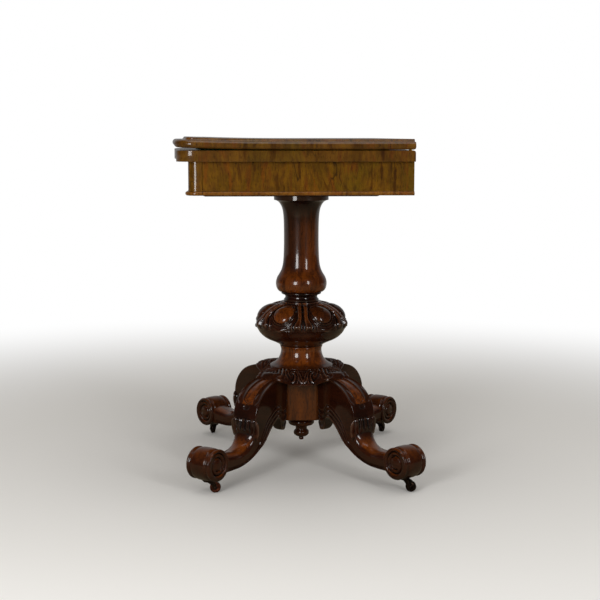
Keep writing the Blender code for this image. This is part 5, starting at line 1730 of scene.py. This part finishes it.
    def build_scroll(self) -> Piece:
        """Turn the scroll foot across the leg, cut its spirals and flatten it for the castor."""
        barrel = smooth_run([(33.0, 29.2), (33.9, 28.0), (34.0, 26.2), (33.2, 24.6)], 4)
        barrel += smooth_run([(32.0, 23.8), (31.2, 22.0), (31.4, 20.0), (32.8, 18.4)], 3)
        barrel += smooth_run([(33.6, 17.2), (34.4, 13.6), (34.8, 9.0), (35.0, 4.0), (35.0, 0.0)], 3)
        face = [32.2, 31.6] + [31.0 * (1 - k / 26) for k in range(26)] + [0.0]
        half = [("face", radius) for radius in reversed(face)] + [("side", k) for k in range(len(barrel))]
        total = 2 * len(half) - 1

        def place(u: float, v: float) -> Vector:
            """Return the scroll's surface point."""
            angle = math.tau * u
            index = round(v * (total - 1))
            side = -1 if index < len(half) else 1
            kind, value = half[index] if side < 0 else half[total - 1 - index]
            radius, out = (value, 0.0) if kind == "face" else barrel[value]
            if kind == "face":
                out = self.scroll_depth(radius, angle) - 2.2 * step_between(radius, 30.5, 33.6) ** 2
            return Vector((self.reach + radius * math.cos(angle), side * out,
                           self.scroll_height + radius * math.sin(angle))) * MM

        scroll = wrapped("scroll", self.scroll_around, total - 1, place)
        with editing(scroll):
            bpy.ops.mesh.bisect(plane_co=(0.0, 0.0, self.scroll_flat * MM), plane_no=(0.0, 0.0, 1.0),
                                use_fill=True, clear_inner=True)
            bpy.ops.mesh.select_all(action="SELECT")
            bpy.ops.mesh.normals_make_consistent(inside=False)
        return scroll

    def rubbing_and_light(self, point: Vector, normal: Vector) -> float:
        """Return a leg point's brightness: most in the panel and shank, with painted light and shade."""
        x, y, z = (value / MM for value in point)
        # Painted light: faces that look up and outward are drawn lighter; sideways faces stay dark.
        up = step_between(normal.z + 0.8 * normal.x, 0.15, 0.6) * step_between(abs(normal.y), 0.75, 0.45)
        # The scroll's upper faces are drawn lighter as painted light.
        if x > self.scroll_start:
            return 0.1 + 0.45 * step_between(normal.z, 0.1, 0.9)
        # Under the cuff the shank is drawn dark as painted shade, lightening from 100 mm down to 78 mm.
        if z < 104.0:
            return 0.1 + 0.9 * up * step_between(z, 100.0, 78.0)
        # The cuff and the arch above it are drawn dark.
        if z < self.panel_foot - 2.0:
            return 0.04
        half = self.width / 2 * self.panel_share
        inside = step_between(abs(y), half + 0.5, half - 1.0)
        return 0.08 + up * (0.08 + 0.84 * inside)

    def build(self) -> None:
        """Make one leg and turn a copy of it to each of the four headings."""
        parts = (self.build_knee(), self.build_scroll())
        for part in parts:
            weather(part, MM)
        leg = joined("leg", *parts)
        lay_grain(leg, Matrix(((0.0, 1.0, 0.0, 0.0), (0.0, 0.0, 1.0, 0.0), (1.0, 0.0, 0.0, 0.0),
                               (0.0, 0.0, 0.0, 1.0))))
        note_rubbing_and_light(leg, self.rubbing_and_light)
        for label, heading in HEADINGS.items():
            twin = copied(leg, f"scroll_leg_{label}")
            twin.data.transform(Matrix.Translation(pedestal_axis()) @ Matrix.Rotation(heading, 4, "Z"))
            finish_piece(twin, Body.STAND, Slot.WALNUT_PEDESTAL, self.carved, stands_for=[f"leg_{label}"],
                         smooth=38)
        bpy.data.objects.remove(leg)


@dataclass
class Castors:
    """Four swivel castors: plate, horn, axle and wheel."""

    bronze: Finish
    worn: Finish
    wheel_radius: float = 11.5
    wheel_half: float = 4.5
    trail: float = 16.0
    wheel_sides: int = 48
    axle_radius: float = 2.0
    cheek: float = 1.8
    cheek_gap: float = 0.5
    head_top: float = 25.1
    head_thickness: float = 1.7
    head_bore: float = 3.3
    boss_radius: float = 4.2
    hole_gap: float = 0.15

    def build_plate(self, centre: Vector) -> Piece:
        """Turn the plate with its pintle and the rivet under the horn."""
        return turned("plate", in_metres((
            (2.4, 21.9), (3.7, 22.1), (4.2, 22.6), (4.2, 23.1), (3.0, 23.1), (3.0, 25.4), (10.6, 25.4),
            (11.0, 25.8), (11.0, 27.2))), 40, centre)

    def build_wheel(self) -> Piece:
        """Make the wheel about the Y axis at the origin, with a hub, a dished web, a tread and a bore."""
        half = [(2.35, 4.5), (3.7, 4.5), (4.0, 4.1), (4.3, 3.5), (7.2, 3.1), (8.0, 3.5), (8.5, 4.2),
                (10.2, 4.3), (11.0, 3.9), (11.4, 3.1), (11.5, 1.6)]
        section = half + [(radius, -out) for radius, out in half[::-1]]
        rings = []
        for k in range(self.wheel_sides):
            angle = math.tau * k / self.wheel_sides
            rings.append([Vector((r * math.cos(angle), out, r * math.sin(angle))) * MM for r, out in section])
        return stacked("wheel", rings, closed=True)

    def build_horn(self) -> Piece:
        """Make the horn heading along +X: a round head with two curved cheeks down to the axle."""
        top, bore = self.head_top, self.head_bore
        foot = top - self.head_thickness
        head = turned("horn", in_metres((
            (bore, foot), (8.6, foot), (9.0, foot + 0.4), (9.0, top - 0.4), (8.6, top), (bore, top))), 40)
        cut_with(head, turned("bore", in_metres(((bore, foot - 1), (bore, top + 1))), 32))
        outline = in_metres((
            (-1.7, top - 0.1), (-1.7, foot), (1.6, foot - 1.4), (5.4, 18.6), (8.8, 14.2),
            *arc((self.trail, self.wheel_radius), self.boss_radius, -0.85 * math.pi, 0.35 * math.pi, 14),
            (18.6, 18.4), (16.2, 21.6), (12.6, 24.2), (9.4, top - 0.1)))
        inner = (self.wheel_half + self.cheek_gap) * MM
        hole = self.axle_radius + self.hole_gap
        middle = (self.trail * MM, 0.0, self.wheel_radius * MM)
        cheeks = []
        for side in (-1, 1):
            cheek = slab("cheek", outline, side * inner, side * (inner + self.cheek * MM), "Y")
            cut_with(cheek, lying("hole", in_metres(((hole, -12.0), (hole, 12.0))), 24, "X", middle))
            rounded(cheek, 0.35 * MM)
            cheeks.append(cheek)
        return joined("horn", head, *cheeks)

    def build_axle(self) -> Piece:
        """Turn the riveted axle about the Y axis at the origin."""
        half = self.wheel_half + self.cheek_gap + self.cheek
        radius = self.axle_radius - 0.05
        outline = in_metres(((1.2, -half), (radius, -half + 0.5), (radius, half - 0.5), (1.2, half)))
        return lying("axle", outline, 24, "X")

    def build(self) -> None:
        """Make one castor's parts and place a set under each foot, headed as the CAD horn is."""
        wheel, horn, axle = self.build_wheel(), self.build_horn(), self.build_axle()
        for label, angle in HEADINGS.items():
            stem = pedestal_axis() + Vector((math.cos(angle), math.sin(angle), 0.0)) * FOOT_REACH * MM
            low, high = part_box(f"castor_wheel_{label}")
            hub = (low + high) / 2
            heading = math.atan2(hub.y - stem.y, hub.x - stem.x)
            turn = Matrix.Translation(stem) @ Matrix.Rotation(heading, 4, "Z")
            spin = turn @ Matrix.Translation((self.trail * MM, 0.0, self.wheel_radius * MM))
            plate = self.build_plate(stem)
            plate.name = f"castor_cup_{label}"
            finish_piece(plate, Body.STAND, Slot.CASTOR_BRASS, self.bronze,
                         stands_for=[f"castor_plate_{label}"])
            # The front-right wheel alone is drawn reddish brown; the other three are dark.
            for source, name, node, where, body, finish in (
                    (horn, "castor_fork", "castor_horn", turn, f"castor_{label}", self.bronze),
                    (axle, "castor_rivet", "castor_axle", spin, f"castor_{label}", self.bronze),
                    (wheel, "castor_roller", "castor_wheel", spin, f"wheel_{label}",
                     self.worn if label == "front_right" else self.bronze)):
                twin = copied(source, f"{name}_{label}")
                twin.data.transform(where)
                finish_piece(twin, body, Slot.CASTOR_BRASS, finish, stands_for=[f"{node}_{label}"])
        for source in (wheel, horn, axle):
            bpy.data.objects.remove(source)


@dataclass
class Studio:
    """The pale floor, the white surround, the lamps and the camera."""

    floor_radius: float = 12.0
    soft_light: str = "#A3A19E"
    dim_room: str = "#24211E"
    mirrored_share: float = 0.25
    camera_azimuth: float = math.radians(87.66)
    camera_pitch: float = math.radians(7.304)
    camera_distance: float = 2.878
    camera_height: float = 0.7389
    lens: float = 76.98
    shift: float = -0.00213

    def build_floor(self) -> None:
        """Lay the floor, a thin wide disc whose rim is turned down."""
        rim = self.floor_radius
        outline = [(rim - 0.01, -0.02), (rim, -0.01), (rim, -0.002), (rim - 0.01, 0.0)]
        floor = turned("studio_floor", outline, 96)
        floor.data.materials.append(PaleFloor("pale_studio_floor").build())

    def build_surround(self) -> None:
        """Surround the table: soft even light, and white for the camera.

        The polish sees the white backdrop behind the table too; towards the camera the room is dim there, so
        that the soft boxes stand out in it.
        """
        world = bpy.data.worlds.new("white_studio")
        bpy.context.scene.world = world
        world.use_nodes = True
        tree = world.node_tree
        tree.nodes.clear()
        place = add_node(tree, "TexCoord").outputs["Generated"]
        across = add_node(tree, "VectorMath", (place, (-1.0, 0.0, 0.0)), operation="DOT_PRODUCT")
        toward = across.outputs["Value"]
        glossy = add_node(tree, "LightPath").outputs["Is Glossy Ray"]
        level = tinted(tree, self.soft_light, ("MIX", glossy, (), self.dim_room))
        behind = add_node(tree, "MapRange", (toward, 0.25, 0.85, 0.0, self.mirrored_share), **SMOOTH)
        unseen = add_node(tree, "Background", {"Color": level, "Strength": 1.0})
        white = add_node(tree, "Background", {"Color": "#FFFFFF", "Strength": 1.0})
        blend = add_node(tree, "MixShader", (seen_rays(tree, behind), unseen, white))
        add_node(tree, "OutputWorld", (blend,))

    def add_lamp(self, name: str, place: Sequence[float], target: Sequence[float], size: Pair,
                 power: float) -> None:
        """Hang a soft box that looks at a point.

        Args:
            name: The lamp's name.
            place: Where it hangs.
            target: The point that it looks at.
            size: Its width and height.
            power: Its power in watts.
        """
        select_only()
        bpy.ops.object.light_add(type="AREA", location=place)
        lamp = bpy.context.object
        lamp.name = name
        lamp.data.shape = "RECTANGLE"
        lamp.data.size, lamp.data.size_y = size
        lamp.data.energy = power
        lamp.rotation_euler = (Vector(target) - Vector(place)).to_track_quat("-Z", "Y").to_euler()

    def build_lamps(self) -> None:
        """Stand two tall soft boxes either side of the camera and hang one overhead."""
        middle = (0.0, 0.0, 0.45)
        self.add_lamp("soft_box_left", (2.3, -1.25, 0.95), middle, (0.7, 1.1), 27.0)
        self.add_lamp("soft_box_right", (2.2, 1.3, 1.1), middle, (0.4, 1.1), 14.0)
        self.add_lamp("soft_box_over", (0.4, 0.0, 2.4), (0.0, 0.0, 0.3), (1.8, 1.8), 13.0)

    def build_camera(self) -> None:
        """Stand the camera where the photograph was taken from."""
        away = Vector((math.sin(self.camera_azimuth), -math.cos(self.camera_azimuth), 0.0))
        place = away * self.camera_distance + Vector((0.0, pedestal_axis().y, self.camera_height))
        look = -away * math.cos(self.camera_pitch) - Vector((0.0, 0.0, math.sin(self.camera_pitch)))
        select_only()
        bpy.ops.object.camera_add(location=place, rotation=look.to_track_quat("-Z", "Y").to_euler())
        camera = bpy.context.object
        camera.name = "photograph_camera"
        camera.data.sensor_width = 36.0
        camera.data.lens = self.lens
        camera.data.shift_x = self.shift
        bpy.context.scene.camera = camera

    def build(self) -> None:
        """Make the studio."""
        bpy.context.scene.view_settings.view_transform = "Standard"
        self.build_floor()
        self.build_surround()
        self.build_lamps()
        self.build_camera()


def main() -> None:
    """Build and dress the table, and light it."""
    logging.basicConfig(level=logging.INFO, format="%(message)s")
    field_veneer = FiguredWalnut("burr_walnut_field", Grain.DEEP, mirrored=True).build()
    upright_veneer = FiguredWalnut("figured_walnut_upright", Grain.UPRIGHT).build()
    border_veneer = FiguredWalnut("figured_walnut_border", Grain.WIDE, mirrored=True).build()
    moulding = FiguredWalnut("walnut_moulding", Grain.UPRIGHT, body="#54360B", bright="#6C4813",
                             olive="#4F420B", russet="#663410").build()
    bead = FiguredWalnut("walnut_bead", Grain.UPRIGHT, body="#6E440F", bright="#8A5A1C", olive="#66470F",
                         russet="#7E4014").build()
    carved = CarvedWalnut("carved_walnut").build()
    # The block walnut made darker, as painted shade for the bearer under the bead.
    shaded_block = CarvedWalnut("walnut_block_shaded", GrainSource.PLACE, rubbed_and_lit="#2A1008").build()
    block_walnut = CarvedWalnut("walnut_block", GrainSource.PLACE, body="#30150A", rubbed_and_lit="#64330F").build()
    pine = PlanedPine("planed_pine_wide", Grain.WIDE).build()
    pine_across = PlanedPine("planed_pine_deep", Grain.DEEP).build()
    brass = AgedMetal("aged_hinge_brass", "#B08A45", "#6E5426", 0.28, 0.5).build()
    iron = AgedMetal("wrought_iron", "#4A4744", "#2A2523", 0.4, 0.65).build()
    bronze = AgedMetal("dark_castor_bronze", "#3E3128", "#1E1714", 0.3, 0.55).build()
    worn = AgedMetal("reddish_castor_bronze", "#7A4634", "#42261C", 0.35, 0.6).build()
    cloth = WoolBaize("green_wool_baize").build()

    FoldingTop(field_veneer, border_veneer, moulding, brass, iron, cloth).build()
    Carcase(upright_veneer, bead, pine, pine_across, shaded_block).build()
    Pedestal(carved, block_walnut).build()
    ScrollLegs(carved).build()
    Castors(bronze, worn).build()
    Studio().build()


if __name__ == "__main__":
    main()
